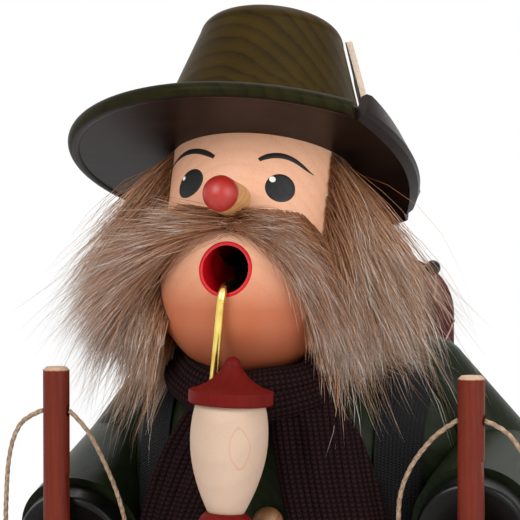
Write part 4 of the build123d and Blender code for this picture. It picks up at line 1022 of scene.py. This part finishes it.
def strand_mesh(name, lines, radius, finish, node):
    """All strands of a piece of fur as one mesh of closed three-sided tapering tubes."""
    count, rings = len(lines), HAIR_STEPS
    ways = unit(np.gradient(lines, axis=1))
    across = unit(np.cross(ways, generator.normal(size=(count, 1, 3))))
    up = np.cross(ways, across)
    taper = (1 - 0.8 * np.linspace(0, 1, rings + 1) ** 1.5)[None]
    thick = radius * generator.uniform(0.75, 1.25, size=(count, 1)) * taper
    turns = (np.array([0, 1, 2]) * 2 * np.pi / 3)[:, None]
    body = lines[:, :rings, None] + thick[:, :rings, None, None] * (
        across[:, :rings, None] * np.cos(turns) + up[:, :rings, None] * np.sin(turns))
    points = np.concatenate([body.reshape(count, rings * 3, 3), lines[:, -1:]], axis=1)
    each = rings * 3 + 1
    tip, last = each - 1, (rings - 1) * 3
    sides = grid_faces(rings, 3, round_columns=True)
    caps = [(last, last + 1, tip), (last + 1, last + 2, tip), (last + 2, last, tip), (2, 1, 0)]
    starts = (np.arange(count) * each)[:, None, None]
    faces = (np.array(sides)[None] + starts).reshape(-1, 4).tolist()
    faces += (np.array(caps)[None] + starts).reshape(-1, 3).tolist()
    made = make_piece(name, points.reshape(-1, 3) * MM, faces, "fur", "figure", finish)
    tone = generator.integers(0, HAIR_TONES, size=count)
    corners = corner_points(made)
    strand, place = corners // each, corners % each
    along = np.where(place == tip, 1.0, (place // 3) / rings)
    beside = (tone[strand] + 0.3 + 0.2 * (place % 3)) / HAIR_TONES
    set_uv(made, "OFBake", np.stack([beside, 0.02 + 0.96 * along], axis=1))
    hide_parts(node)
    print(name, "has", count, "strands")


print("strands have one of", HAIR_TONES, "tones")

# %% [markdown]
# ## Colour of the hair
# Each hair is dark at the root, taupe along its length and pale at the tip, and no two are quite alike. A
# colour for every strand would need as many materials; instead the strand's UV carries its place along the
# hair and one of some dozens of tones, and one group of nodes turns both into a colour.

# %% Hair colour
def make_hair_group():
    """Colour along a hair: dark root, taupe middle, pale tip, each strand a little its own."""
    group, given, result = new_group(
        "hair_colour", [("UV", "NodeSocketVector", None), ("Tip", "NodeSocketFloat", 1.0)],
        [("Colour", "NodeSocketColor")])
    beside, up_hair, _ = parts_of(group, given.outputs["UV"])
    strand = sums(group, "FLOOR", sums(group, "MULTIPLY", beside, float(HAIR_TONES)))
    chance, other = (add_node(group, "ShaderNodeTexWhiteNoise", {"W": seed}, noise_dimensions="1D").outputs[0]
                     for seed in (strand, sums(group, "ADD", strand, 91.0)))
    spread = sums(group, "MULTIPLY", sums(group, "SUBTRACT", chance, 0.5), 0.45)
    along = sums(group, "ADD", up_hair, spread, clamp=True)
    colour = ramp(group, along, [(0.0, (128, 89, 66)), (0.3, (162, 119, 93)), (0.62, (188, 149, 123)),
                                 (0.84, (206, 178, 158)), (1.0, (246, 240, 234))])
    warmth = between(group, other, 0.0, 1.0, 0.95, 1.35)
    light = between(group, chance, 0.0, 1.0, 0.68, 1.26)
    tone = add_node(group, "ShaderNodeHueSaturation", {"Saturation": warmth, "Value": light, "Color": colour})
    dull = mix_colours(group, given.outputs["Tip"], srgb(150, 92, 64), tone.outputs[0])
    fill(group, result.inputs["Colour"], dull)
    return group


hair_group = make_hair_group()


def fur_finish(name, tip):
    """Glossy long hair, coloured by its place along the strand, duller where tip is below one."""
    made, tree, shader = new_material(name)
    place = add_node(tree, "ShaderNodeUVMap", uv_map="OFBake").outputs[0]
    colour = use_group(tree, hair_group, {"UV": place, "Tip": tip})["Colour"]
    dress(tree, shader, {"Base Color": colour, "Roughness": 0.5, "Specular IOR Level": 0.2})
    return made


fur = fur_finish("fur", 1.0)
lip_fur = fur_finish("lip_fur", 0.7)
print("hair colour group with", len(hair_group.nodes), "nodes")

# %% [markdown]
# ## Hair of both sides and the nape
# The hair flares out from the temples under the brim, hangs to the shoulders and thins to long wisps. Roots
# are scattered by chance over each side of the head; higher roots throw their hair outward, lower ones let
# it fall, and those next to the face are shorter. A fixed seed makes the same hair each run.

# %% Hair of both sides and the nape
HAIR_COUNT = 7000
BACK_SHARE, WISP_SHARE, STRAY_SHARE = 0.7, 0.16, 0.05
TEMPLE_TURN, SIDE_SPAN, SIDE_HEIGHTS = 60, 80, (-13, 33.8)
NAPE_TURNS, NAPE_HEIGHTS = (136, 224), (-10, 33.8)
hair_fall = {
    "left": {"out": 0.64, "down": 0.82, "droop": (0.06, 0.18), "length": (28, 53), "shorter": 0.64},
    "right": {"out": 0.8, "down": 0.78, "droop": (0.04, 0.2), "length": (31, 56), "shorter": 0.68},
}


def side_hair(name, count):
    """Hair of one side: roots from the temple to the nape, flaring out under the brim or hanging down."""
    fall = hair_fall[name]
    turn = SIDES[name] * (TEMPLE_TURN + SIDE_SPAN * generator.uniform(size=count) ** 1.15)
    height = generator.uniform(*SIDE_HEIGHTS, size=count)
    roots = on_head(turn, height, 0.35)
    low = np.clip((22 - height) / 34, 0, 1)
    ways = head_outward(roots) * (fall["out"] * (1 - 0.3 * low))[:, None]
    ways += DOWN * (fall["down"] + 0.45 * low)[:, None]
    stray = np.where(generator.uniform(size=count) < STRAY_SHARE, 0.26, 0.15)
    ways += generator.normal(size=(count, 3)) * stray[:, None]
    full = generator.uniform(*fall["length"], size=count)
    wisp = generator.uniform(size=count) < WISP_SHARE
    wisps = full * generator.uniform(1.0, 1.4, size=count) * (1 - 0.4 * low)
    front = np.clip((88 - np.abs(turn)) / 26, 0, 1)
    lengths = np.where(wisp, wisps, full * (1 - fall["shorter"] * low)) * (1 - 0.34 * front)
    droop = generator.uniform(*fall["droop"], size=count)
    lines = draw_together(grow_strands(roots, ways, lengths, droop, 0.05), 0.03, 0.72)
    strand_mesh(name + "_fur", lines, 0.085, fur, name + "_hair")


def back_hair(count):
    """Shorter hair at the nape, lying down over the scarf."""
    turn = generator.uniform(*NAPE_TURNS, size=count)
    height = generator.uniform(*NAPE_HEIGHTS, size=count)
    roots = on_head(turn, height, 0.5)
    ways = head_outward(roots) * 0.7 + DOWN * 0.8 + generator.normal(size=(count, 3)) * 0.16
    lengths = generator.uniform(18, 30, size=count)
    lines = draw_together(grow_strands(roots, ways, lengths, np.full(count, 0.3), 0.05), 0.05, 0.7)
    strand_mesh("back_fur", lines, 0.105, fur, "back_hair")


for name in SIDES:
    side_hair(name, HAIR_COUNT)
back_hair(int(HAIR_COUNT * BACK_SHARE))

# %% [markdown]
# ## Moustache
# The moustache is one more strip of hide under the nose, combed from the middle out over both cheeks so
# that it leaves the mouth open. Its roots lie between two lines on the face, each strand goes to its own
# side, and strands that would cross the hole are left out.

# %% Moustache
MOUTH_CLEAR = 1.2
moustache_top = [(-60, 13.0), (-42.8, 16.4), (-23.7, 14.4), (-12, 11.8), (10.1, 12.8), (25.4, 13.8),
                 (41.9, 14.3), (60.5, 10.6)]
moustache_low = [(-60, 2.0), (-40, 4.4), (-18, 6.8), (14, 6.8), (36, 4.4), (60.5, 1.0)]


def moustache(count):
    """Fur under the nose, combed out from the middle over both cheeks."""
    turn = generator.uniform(-60, 54, size=count)
    high, low = (np.interp(turn, *np.array(line).T) for line in (moustache_top, moustache_low))
    height = low + (high - low) * generator.uniform(size=count)
    roots = on_head(turn, height, 0.35)
    way = np.sign(turn + 3 + generator.normal(size=count) * 6)
    bearing, edge = np.radians(turn), np.abs(turn) / 60
    middle = np.clip(np.abs(turn + 3) / 26, 0, 1)
    aside = np.stack([np.cos(bearing), np.sin(bearing), np.zeros(count)], axis=1) @ HEAD_AXES * way[:, None]
    ways = aside * 0.95 + head_outward(roots) * (0.42 + 0.15 * edge)[:, None]
    ways += DOWN * (0.12 + (0.68 + 0.14 * way + 0.2 * edge) * middle)[:, None]
    ways += generator.normal(size=(count, 3)) * 0.15
    lengths = generator.uniform(20, 44, size=count) * (0.5 + 0.5 * middle) * (1 - 0.06 * way)
    droop = (0.1 + 0.07 * way + generator.uniform(0, 0.06, size=count)) * middle
    lines = draw_together(grow_strands(roots, ways, lengths, droop, 0.04), 0.06, 0.55)
    gap = np.hypot(lines[..., 0] - MOUTH_MIDDLE[0], lines[..., 2] - MOUTH_MIDDLE[2])
    lines = lines[gap.min(axis=1) > MOUTH_RADIUS + MOUTH_CLEAR]
    strand_mesh("moustache_fur", lines, 0.088, lip_fur, "moustache")


moustache(HAIR_COUNT)

# %% [markdown]
# ## Hide under the hair
# Between the long hairs the tanned hide with its short underfur shows. Without it the bare wood would
# shine through. It is a thin closed sheet on the head, with noise drawn out downwards as its underfur.

# %% Hide
HIDE_ROWS, HIDE_COLUMNS = 60, 24
HIDE_OUTER, HIDE_INNER = 0.35, -0.2


def hide_finish():
    """Tanned hide with the short dense underfur that shows between the long hairs."""
    made, tree, shader = new_material("hide")
    tuft = noise(tree, vectors(tree, "MULTIPLY", place_of(tree), (1, 1, 0.2)), 2600.0, 4.0)
    dress(tree, shader, {"Base Color": ramp(tree, tuft, [(0.3, (84, 60, 44)), (0.75, (136, 104, 80))]),
                         "Roughness": 0.8})
    add_bump(tree, shader, tuft, 0.8, 0.0008)
    return made


hide = hide_finish()


def hide_strip(name, start, end, low, high):
    """The strip of hide that the hair stands on."""
    turn, height = np.meshgrid(np.linspace(start, end, HIDE_ROWS), np.linspace(low, high, HIDE_COLUMNS),
                               indexing="ij")
    sheets = [on_head(turn, height, proud).reshape(-1, 3) for proud in (HIDE_OUTER, HIDE_INNER)]
    count = HIDE_ROWS * HIDE_COLUMNS
    grid = grid_faces(HIDE_ROWS, HIDE_COLUMNS)
    faces = grid + [tuple(index + count for index in face[::-1]) for face in grid]
    order = np.arange(count).reshape(HIDE_ROWS, HIDE_COLUMNS)
    rim = np.concatenate([order[:, 0], order[-1, 1:], order[-2::-1, -1], order[0, -2:0:-1]]).tolist()
    faces += [(rim[place - 1], rim[place], rim[place] + count, rim[place - 1] + count)
              for place in range(len(rim))]
    make_piece(name, np.concatenate(sheets) * MM, faces, "fur", "figure", hide)
    print(name, "spans", end - start, "degrees")


hide_strip("left_hide", 62, 141, -13, 34.0)
hide_strip("right_hide", -141, -62, -13, 34.0)
hide_strip("back_hide", 139, 221, -11, 34.0)
hide_strip("moustache_hide", -56, 56, 7.4, 11.0)

# %% [markdown]
# ## Stitches along the temple
# Where the hide ends at the temple a row of small stitches shows on the skin. They could be a dotted line
# in the skin's colour; as short bowed threads they throw the tiny shadows that make them read as thread.

# %% Stitches along the temple
STITCH_TURN, STITCH_LOW, STITCH_HIGH, STITCH_COUNT = -61.6, 16.5, 32.0, 15
STITCH_RISE, STITCH_POINTS, STITCH_THICK = 0.62, 6, 0.11
stitches = []
for step in range(STITCH_COUNT):
    low = STITCH_LOW + (STITCH_HIGH - STITCH_LOW) * step / STITCH_COUNT
    heights = np.linspace(low, low + STITCH_RISE, STITCH_POINTS)
    bow = 0.35 + 0.22 * np.sin(np.linspace(0, np.pi, STITCH_POINTS))
    stitches.append(tube(on_head(np.full(STITCH_POINTS, STITCH_TURN), heights, bow) * MM, STITCH_THICK * MM))
points, faces = join_meshes(stitches)
make_piece("temple_stitches", points, faces, "fur", "figure", twine_finish)
print(STITCH_COUNT, "stitches along the temple")

# %% [markdown]
# ## Rib knit
# The scarf is a narrow tube of fine rib knit. Knit can be faked with bump alone, but at this distance the
# ribs break the scarf's outline, so ribs and stitches are real relief in the mesh, and the shader only
# adds the fuzz, a painted highlight on the stitches and painted shade in the gaps. Both read the same flat
# coordinates, in millimetres.

# %% Knit helpers
RIB_WIDTH, STITCH_LENGTH, STITCH_SLANT, KNIT_DEPTH = 1.5, 1.25, 0.42, 0.55
FLAT_UNIT = 100.0


def knit_relief(across, along):
    """Height from 0 to 1 of rib knit at distances in millimetres across and along the ribs."""
    side = np.abs((across / RIB_WIDTH % 1.0) - 0.5) * 2
    arch = np.sqrt(np.clip(1 - side ** 2, 0, 1))
    stitch = 0.5 - 0.5 * np.cos(2 * np.pi * (along / STITCH_LENGTH + STITCH_SLANT * side))
    return 0.72 * arch + 0.28 * stitch * arch


def flat_place(tree, uv_map):
    """Millimetres across and along a sheet, from its UV map."""
    across, along, _ = parts_of(tree, add_node(tree, "ShaderNodeUVMap", uv_map=uv_map).outputs[0])
    return sums(tree, "MULTIPLY", across, FLAT_UNIT), sums(tree, "MULTIPLY", along, FLAT_UNIT)


def knit_finish():
    """Dark aubergine-brown wool with a painted highlight on the stitches and painted shade between them, with
    a soft sheen.
    """
    made, tree, shader = new_material("scarf_knit")
    across, along = flat_place(tree, "knit")
    rib = sums(tree, "FRACT", sums(tree, "DIVIDE", across, RIB_WIDTH))
    side = sums(tree, "MULTIPLY", sums(tree, "ABSOLUTE", sums(tree, "SUBTRACT", rib, 0.5)), 2.0)
    slant = sums(tree, "MULTIPLY_ADD", side, STITCH_SLANT, sums(tree, "DIVIDE", along, STITCH_LENGTH))
    stitch = sums(tree, "MULTIPLY", sums(tree, "PINGPONG", sums(tree, "FRACT", slant), 0.5), 2.0)
    # painted shade: darker in the gaps between the ribs
    gap = sums(tree, "MULTIPLY", sums(tree, "POWER", side, 3.0), 0.75)
    place = place_of(tree)
    fuzz = noise(tree, place, 3600.0, 4.0)
    # painted highlight: paler on the stitches
    share = sums(tree, "MULTIPLY_ADD", fuzz, 0.5, sums(tree, "MULTIPLY", stitch, 0.5))
    share = sums(tree, "MULTIPLY_ADD", noise(tree, place, 90.0, 2.0), 0.3, share)
    share = sums(tree, "MULTIPLY", share, sums(tree, "SUBTRACT", 1.0, gap))
    colour = ramp(tree, share, [(0.1, (6, 3, 3)), (0.5, (23, 11, 12)), (0.9, (45, 25, 26))])
    dress(tree, shader, {"Base Color": colour, "Roughness": 0.92, "Specular IOR Level": 0.06})
    add_bump(tree, shader, sums(tree, "MULTIPLY_ADD", fuzz, 0.5, stitch), 0.5, 0.0003)
    return made


knit = knit_finish()
print("ribs", RIB_WIDTH, "mm wide")

# %% [markdown]
# ## Scarf round the neck
# Three turns of scarf lie in soft rolls under the chin, lower at the throat than at the nape. A cloth
# simulation would fold them by chance; rings that swell and wave a little are calmer and always the same.
# They are built level, with the knit as relief round each roll, and then tilted forward as one.

# %% Turns round the neck
WRAP_TILT, WRAP_MIDDLE = math.radians(24), np.array([-4.2, -13.0, 203.6])
WRAP_ROLLS = ((20.0, -4.0, 4.5), (22.6, 0.2, 4.5), (20.0, 4.2, 4.3))
WRAP_POINTS, ROLL_POINTS = 300, 96


def scarf_wrap():
    """Soft rolls of knit round the neck."""
    axes = np.array([[1, 0, 0], [0, math.cos(WRAP_TILT), math.sin(WRAP_TILT)],
                     [0, -math.sin(WRAP_TILT), math.cos(WRAP_TILT)]])
    around = np.linspace(0, 2 * np.pi, WRAP_POINTS, endpoint=False)[:, None]
    turn = np.linspace(0, 2 * np.pi, ROLL_POINTS, endpoint=False)[None]
    parts, flats = [], []
    for roll, (radius, rise, thick) in enumerate(WRAP_ROLLS):
        swell = 1 + 0.07 * np.sin(3 * around + roll) + 0.05 * np.sin(7 * around + 2 * roll)
        wave = 0.7 * np.sin(2 * around + 1.7 * roll) + 0.4 * np.sin(5 * around + roll)
        across = turn * thick + np.zeros_like(around)
        along = around * radius + np.zeros_like(turn)
        skin = thick * swell + KNIT_DEPTH * (knit_relief(across, along) - 0.5)
        reach = radius + skin * np.cos(turn)
        local = np.stack([reach * np.cos(around), reach * np.sin(around), rise + wave + skin * np.sin(turn)],
                         axis=-1)
        parts.append(((WRAP_MIDDLE + local.reshape(-1, 3) @ axes) * MM,
                      grid_faces(WRAP_POINTS, ROLL_POINTS, round_rows=True, round_columns=True)))
        flats.append(np.stack([across, along], axis=-1).reshape(-1, 2) / FLAT_UNIT)
    made = make_piece("scarf_wrap_knit", *join_meshes(parts), "scarf_knit", "figure", knit)
    set_uv(made, "knit", np.concatenate(flats)[corner_points(made)])
    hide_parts("scarf_wrap")


scarf_wrap()

# %% [markdown]
# ## Hanging ends of the scarf
# Both ends hang down the coat's front in a few soft folds and lie close to it. Each is a sheet laid on the
# coat's own round, between two edges that are given at some heights, with folds and knit added outward and
# a plain back, so that it is closed all round.

# %% Hanging ends
SCARF_ROWS, SCARF_COLUMNS, SCARF_INNER = 230, 170, 24
SCARF_FOLDS, FOLD_STRETCH, EDGE_SHARE = 3, 1.35, 0.035
scarf_rows = {
    "left": [(197.0, 0.0, 27.0), (189.0, 3.0, 33.0), (175.0, 6.0, 39.0), (160.0, 10.0, 44.0),
             (143.0, 14.0, 48.0), (126.0, 17.0, 50.0)],
    "right": [(196.0, -30.0, -8.0), (190.0, -33.0, -11.0), (176.0, -41.0, -17.0), (161.0, -49.0, -23.0),
              (145.0, -54.0, -27.0), (130.0, -57.0, -29.0)],
}


def smooth_curve(values, count):
    """Values at evenly spread places, with the corners rounded off."""
    fine = np.interp(np.linspace(0, len(values) - 1, count), np.arange(len(values)), values)
    width = count // 8
    padded = np.concatenate([np.full(width, fine[0]), fine, np.full(width, fine[-1])])
    weights = np.hanning(2 * width + 1)
    smooth = np.convolve(padded, weights / weights.sum(), mode="valid")
    ends = np.linspace(0, 1, count)
    return smooth + (fine[0] - smooth[0]) * (1 - ends) + (fine[-1] - smooth[-1]) * ends


def scarf_end(name):
    """One hanging end: a folded sheet of knit against the coat, closed all round."""
    height, start, end = (smooth_curve(values, SCARF_ROWS) for values in np.array(scarf_rows[name]).T)
    along = np.concatenate([[0], np.cumsum(np.hypot(np.diff(height), np.diff(coat_radius(height))))])[:, None]
    share, inner_share = np.linspace(0, 1, SCARF_COLUMNS), np.linspace(1, 0, SCARF_INNER)
    angle, inner_angle = (start[:, None] + (end - start)[:, None] * part for part in (share, inner_share))
    radius = coat_radius(height, 0.3)[:, None]
    width = np.radians(end - start)[:, None] * radius
    across = width * share
    fold = 0.5 - 0.5 * np.cos(2 * np.pi * (SCARF_FOLDS * share[None] + 0.25 * np.sin(along / 19)))
    edge = np.clip(np.minimum(share, 1 - share) / EDGE_SHARE, 0, 1) ** 0.5
    outer = radius + (1.9 + 1.6 * fold) * (0.25 + 0.75 * edge[None]) + KNIT_DEPTH * knit_relief(across, along)
    inner = np.broadcast_to(radius + 0.15, inner_angle.shape)
    turns = np.radians(np.concatenate([angle, inner_angle], axis=1))
    reach = np.concatenate([outer, inner], axis=1)
    level = np.broadcast_to(height[:, None], reach.shape)
    points = np.stack([reach * np.sin(turns), TORSO_Y - reach * np.cos(turns), level], axis=-1)
    faces = capped_faces(SCARF_ROWS, SCARF_COLUMNS + SCARF_INNER)
    made = make_piece(name + "_scarf_knit", points.reshape(-1, 3) * MM, faces, "scarf_knit", "figure", knit)
    flat_across = np.concatenate([across, width * inner_share], axis=1)
    flat = np.stack([flat_across, np.broadcast_to(along, reach.shape)], axis=-1).reshape(-1, 2) / FLAT_UNIT
    set_uv(made, "knit", flat[corner_points(made)])
    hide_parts(name + "_scarf_end")


for name in SIDES:
    scarf_end(name)

# %% [markdown]
# ## Webbing
# The pack hangs from narrow black tape with raised selvedges and slanting rows of woven cord. A single
# noise would look like felt; two zigzags, one across the tape and one along it, make the weave, and a painted
# highlight makes the crowns of the threads greyer than the painted shade in the gaps.

# %% Webbing finish
def webbing_finish():
    """Black tape: slanting rows of weft, with a painted highlight on the crowns of the threads and painted
    shade in the gaps.
    """
    made, tree, shader = new_material("webbing")
    across, along = flat_place(tree, "weave")
    warp = sums(tree, "PINGPONG", across, 0.42)
    weft = sums(tree, "PINGPONG", sums(tree, "MULTIPLY_ADD", warp, 0.9, along), 0.36)
    height = sums(tree, "MULTIPLY_ADD", weft, 1.6, sums(tree, "MULTIPLY", warp, 0.9))
    # painted highlight and shade: the weave's height lightens the crowns and darkens the gaps
    share = sums(tree, "MULTIPLY_ADD", noise(tree, place_of(tree), 2800.0, 3.0), 0.45, height)
    colour = ramp(tree, share, [(0.2, (5, 5, 6)), (0.65, (15, 15, 16)), (1.0, (34, 34, 36))])
    dress(tree, shader, {"Base Color": colour, "Roughness": 0.62, "Specular IOR Level": 0.08})
    add_bump(tree, shader, height, 0.7, 0.0004)
    return made


webbing = webbing_finish()
print("webbing finish with", len(webbing.node_tree.nodes), "nodes")

# %% [markdown]
# ## Tape on the coat
# The tape lies close on the coat's round shoulder. A shrinkwrap modifier could press a flat ribbon onto it;
# here rays from inside the coat find its skin directly, which keeps the tape's edges even. The tape's
# thickness, with its woven cords, is then built outward from there.

# %% Tape on the coat
STRAP_WIDTH = 10.5
RAY_REACH, RAY_HALVINGS = 90.0, 44


def coat_hit(starts, ways, shift):
    """Points where rays from inside the coat meet the skin that lies shift outside it."""
    near, far = np.zeros(starts.shape[:-1]), np.full(starts.shape[:-1], RAY_REACH)
    for _ in range(RAY_HALVINGS):
        middle = (near + far) / 2
        point = starts + ways * middle[..., None]
        inside = np.hypot(point[..., 0], point[..., 1] - TORSO_Y) < coat_radius(point[..., 2], shift)
        near = np.where(inside, middle, near)
        far = np.where(inside, far, middle)
    return starts + ways * near[..., None]


def ribbon(under, upper, share, along):
    """A closed ribbon between an under and an upper sheet of points, with its flat coordinates."""
    rows, columns = under.shape[:2]
    flat = np.stack([STRAP_WIDTH * share + 0 * along, along + 0 * share], axis=-1) / FLAT_UNIT
    loop = np.concatenate([upper, under[:, ::-1]], axis=1)
    flats = np.concatenate([flat, flat[:, ::-1]], axis=1)
    return loop.reshape(-1, 3), capped_faces(rows, 2 * columns), flats.reshape(-1, 2)


def tape_height(share, along, thick):
    """Thickness of the tape: rows of weft cords between two raised selvedges."""
    selvedge = np.exp(-((np.minimum(share, 1 - share) - 0.04) / 0.03) ** 2)
    cords = np.abs(np.sin(np.pi * along / 1.3))
    return thick * (0.72 + 0.12 * cords + 0.16 * selvedge)


print("tape", STRAP_WIDTH, "mm wide from the front")

# %% [markdown]
# ## Straps
# One stretch of tape goes over each shoulder and one back round under the arm. The first follows a fan of
# rays from inside the chest, the second goes round the coat at one height. Both stretches of a side are
# one piece, and the shoulder stretch also works out its mean width along the coat's curve.

# %% Straps
STRAP_INNER, STRAP_LOW, STRAP_TURN_HEIGHT, STRAP_FOOT = 27.5, 146.0, 172.0, 4
STRAP_COLUMNS, STRAP_ROWS, BAND_ROWS = 29, 320, 260
STRAP_GAP, BAND_GAP, STRAP_THICK, BAND_THICK = 0.35, 1.05, 0.85, 0.75
BAND_START, BAND_END = 34.5, 145.5


def shoulder_stretch(side, share):
    """The stretch over one shoulder as a ribbon, and its mean width and length along the coat."""
    x = STRAP_INNER + STRAP_WIDTH * share
    front = np.sqrt(CHEST_RADIUS ** 2 - x ** 2)
    foot = np.degrees(np.arctan2(STRAP_LOW + STRAP_FOOT - STRAP_TURN_HEIGHT, front))
    turn = np.radians(foot + (180 - 2 * foot) * np.linspace(0, 1, STRAP_ROWS)[:, None])
    ways = np.stack([np.zeros_like(turn), -np.cos(turn), np.sin(turn)], axis=-1)
    middle = np.array([0, TORSO_Y, STRAP_TURN_HEIGHT])
    starts = middle + (side * x)[..., None] * np.array([1, 0, 0]) + np.zeros_like(ways)
    under = coat_hit(starts, ways, STRAP_GAP)
    along = run_lengths(under[:, STRAP_COLUMNS // 2])[:, None]
    out = unit((under - middle) * np.array([0.5, 1, 1]))
    upper = under + out * tape_height(share, along, STRAP_THICK)[..., None]
    width = np.linalg.norm(np.diff(under, axis=1), axis=-1).sum(axis=1).mean()
    return ribbon(under, upper, share, along), width, along[-1, 0]


def waist_stretch(side, share):
    """The stretch back under one arm as a ribbon, and its length along the coat."""
    height = STRAP_LOW + STRAP_WIDTH * share
    bearing = np.radians(np.linspace(BAND_START, BAND_END, BAND_ROWS))[:, None]
    along = bearing * CHEST_RADIUS
    reach = coat_radius(height, BAND_GAP)
    under, upper = (np.stack([side * radius * np.sin(bearing), TORSO_Y - radius * np.cos(bearing),
                              height + 0 * bearing], axis=-1)
                    for radius in (reach, reach + tape_height(share, along, BAND_THICK)))
    return ribbon(under, upper, share, along), along[-1, 0] - along[0, 0]


def strap(name):
    """Both stretches of one strap."""
    share = np.linspace(0, 1, STRAP_COLUMNS)[None]
    over, over_width, over_length = shoulder_stretch(SIDES[name], share)
    band, band_length = waist_stretch(SIDES[name], share)
    points, faces = join_meshes([over[:2], band[:2]])
    made = make_piece(name + "_webbing", points * MM, faces, "webbing", "figure", webbing)
    set_uv(made, "weave", np.concatenate([over[2], band[2]])[corner_points(made)])
    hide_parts(name + "_strap")


for name in SIDES:
    strap(name)

# %% [markdown]
# ## Lashing on the pack
# Thin pale twine is laced to and fro across each rounded side of the pack, tight against the wood. It
# uses the same twisted strands as the loops, along a zigzag that is laid on the pack's side and over its
# rounded corner.

# %% Pack lashing
PACK_HALF, PACK_TOP, PACK_CORNER, LACING_LOW, LACING_END = 30.0, 228.0, 16.0, 176.0, math.radians(80)
LACING_STRANDS, LACING_STRAND, LACING_OFFSET, LACING_PITCH = 2, 0.17, 0.13, 1.8
LACING_PROUD, LACING_STEP, LACING_POINTS = 0.28, 0.5, 260
lacing_turns = [(2.0, 68.5), (10.0, 47.0), (18.0, 68.5), (26.0, 46.5), (34.0, 68.5), (42.0, 46.0),
                (50.0, 68.5), (56.0, 50.0)]


def pack_side(run, depth, side):
    """Points on the pack's side: run counts upwards from the lacing's foot, over the corner to the top."""
    straight = PACK_TOP - PACK_CORNER - LACING_LOW
    turn = np.clip((run - straight) / PACK_CORNER, 0, LACING_END)
    x = PACK_HALF - PACK_CORNER + (PACK_CORNER + LACING_PROUD) * np.cos(turn)
    z = np.minimum(LACING_LOW + run, PACK_TOP - PACK_CORNER) + (PACK_CORNER + LACING_PROUD) * np.sin(turn)
    return np.stack([side * x, depth, z], axis=-1)


lacing_finish = make_twine_finish("lacing", [(168, 128, 114), (200, 164, 150), (222, 196, 182)])
places = np.linspace(0, len(lacing_turns) - 1, LACING_POINTS)
corners = np.arange(len(lacing_turns))
runs, depths = (np.interp(places, corners, values) for values in np.array(lacing_turns).T)
for name, side in SIDES.items():
    route, length = even_points(pack_side(runs, depths, side) * MM, LACING_STEP * MM)
    points, faces = twisted(route, LACING_STRANDS, LACING_STRAND * MM, LACING_OFFSET * MM, LACING_PITCH * MM)
    make_piece(name + "_pack_lacing", points, faces, "twine", "figure", lacing_finish)
    print(name, "lacing", round(length / MM), "mm long")

# %% [markdown]
# ## Floor
# A plain pale floor closes the scene below. It is no part of the figure, so it rides on no body. A disc a
# hair below the base plate keeps the two faces from fighting for the same place.

# %% Floor
FLOOR_POINTS, FLOOR_DROP = 96, 0.0005


def make_floor():
    """A round pale floor of one metre radius."""
    finish, tree, shader = new_material("floor")
    tone = noise(tree, place_of(tree), 30.0, 2.0)
    dress(tree, shader, {"Base Color": ramp(tree, tone, [(0.3, (240, 240, 240)), (0.7, (246, 246, 246))]),
                         "Roughness": 0.9})
    mesh = bpy.data.meshes.new("floor")
    turns = np.linspace(0, 2 * np.pi, FLOOR_POINTS, endpoint=False)
    mesh.from_pydata([(math.cos(turn), math.sin(turn), -FLOOR_DROP) for turn in turns], [],
                     [tuple(range(FLOOR_POINTS))])
    mesh.materials.append(finish)
    made = bpy.data.objects.new("floor", mesh)
    scene.collection.objects.link(made)


make_floor()
print("floor with", FLOOR_POINTS, "sides")

# %% [markdown]
# ## Sky and lights
# The photograph has a large soft light at its left front and a weaker one at its right. A bright sky all
# round would wash out the dark stains, so the sky is white to the camera and in gloss, but as light it is
# dim in front of the figure. Three area lights do the rest.

# %% Sky and lights
def softbox(name, place, aim, size, power):
    """A square area light that looks at a point."""
    data = bpy.data.lights.new(name, "AREA")
    data.size = size
    data.energy = power
    made = bpy.data.objects.new(name, data)
    made.location = place
    made.rotation_euler = (Vector(place) - Vector(aim)).to_track_quat("Z", "Y").to_euler()
    scene.collection.objects.link(made)


def make_sky():
    """White to the camera and in gloss; as light, brighter behind the figure than in front of it."""
    world = bpy.data.worlds.new("sky")
    world.use_nodes = True
    tree = world.node_tree
    tree.nodes.clear()
    back = parts_of(tree, add_node(tree, "ShaderNodeTexCoord").outputs["Generated"])[1]
    level = between(tree, back, -0.3, 0.7, 0.16, 0.42)
    path = add_node(tree, "ShaderNodeLightPath").outputs
    seen = sums(tree, "ADD", path["Is Camera Ray"], path["Is Glossy Ray"])
    seen = sums(tree, "ADD", seen, path["Is Transmission Ray"], clamp=True)
    strength = add_node(tree, "ShaderNodeMix", {0: seen, 2: level, 3: 1.0}).outputs[0]
    sky = add_node(tree, "ShaderNodeBackground", {"Color": (1, 1, 1, 1), "Strength": strength})
    add_node(tree, "ShaderNodeOutputWorld", {0: sky.outputs[0]})
    scene.world = world


make_sky()
softbox("key", (-0.5, -1.1, 0.95), (0, 0, 0.21), 0.7, 13.8)
softbox("fill", (0.95, -0.7, 0.55), (0, 0, 0.2), 0.8, 8.8)
softbox("top", (0.1, 0.35, 1.2), (0, 0, 0.2), 0.8, 6.0)
print("sky and three lights")
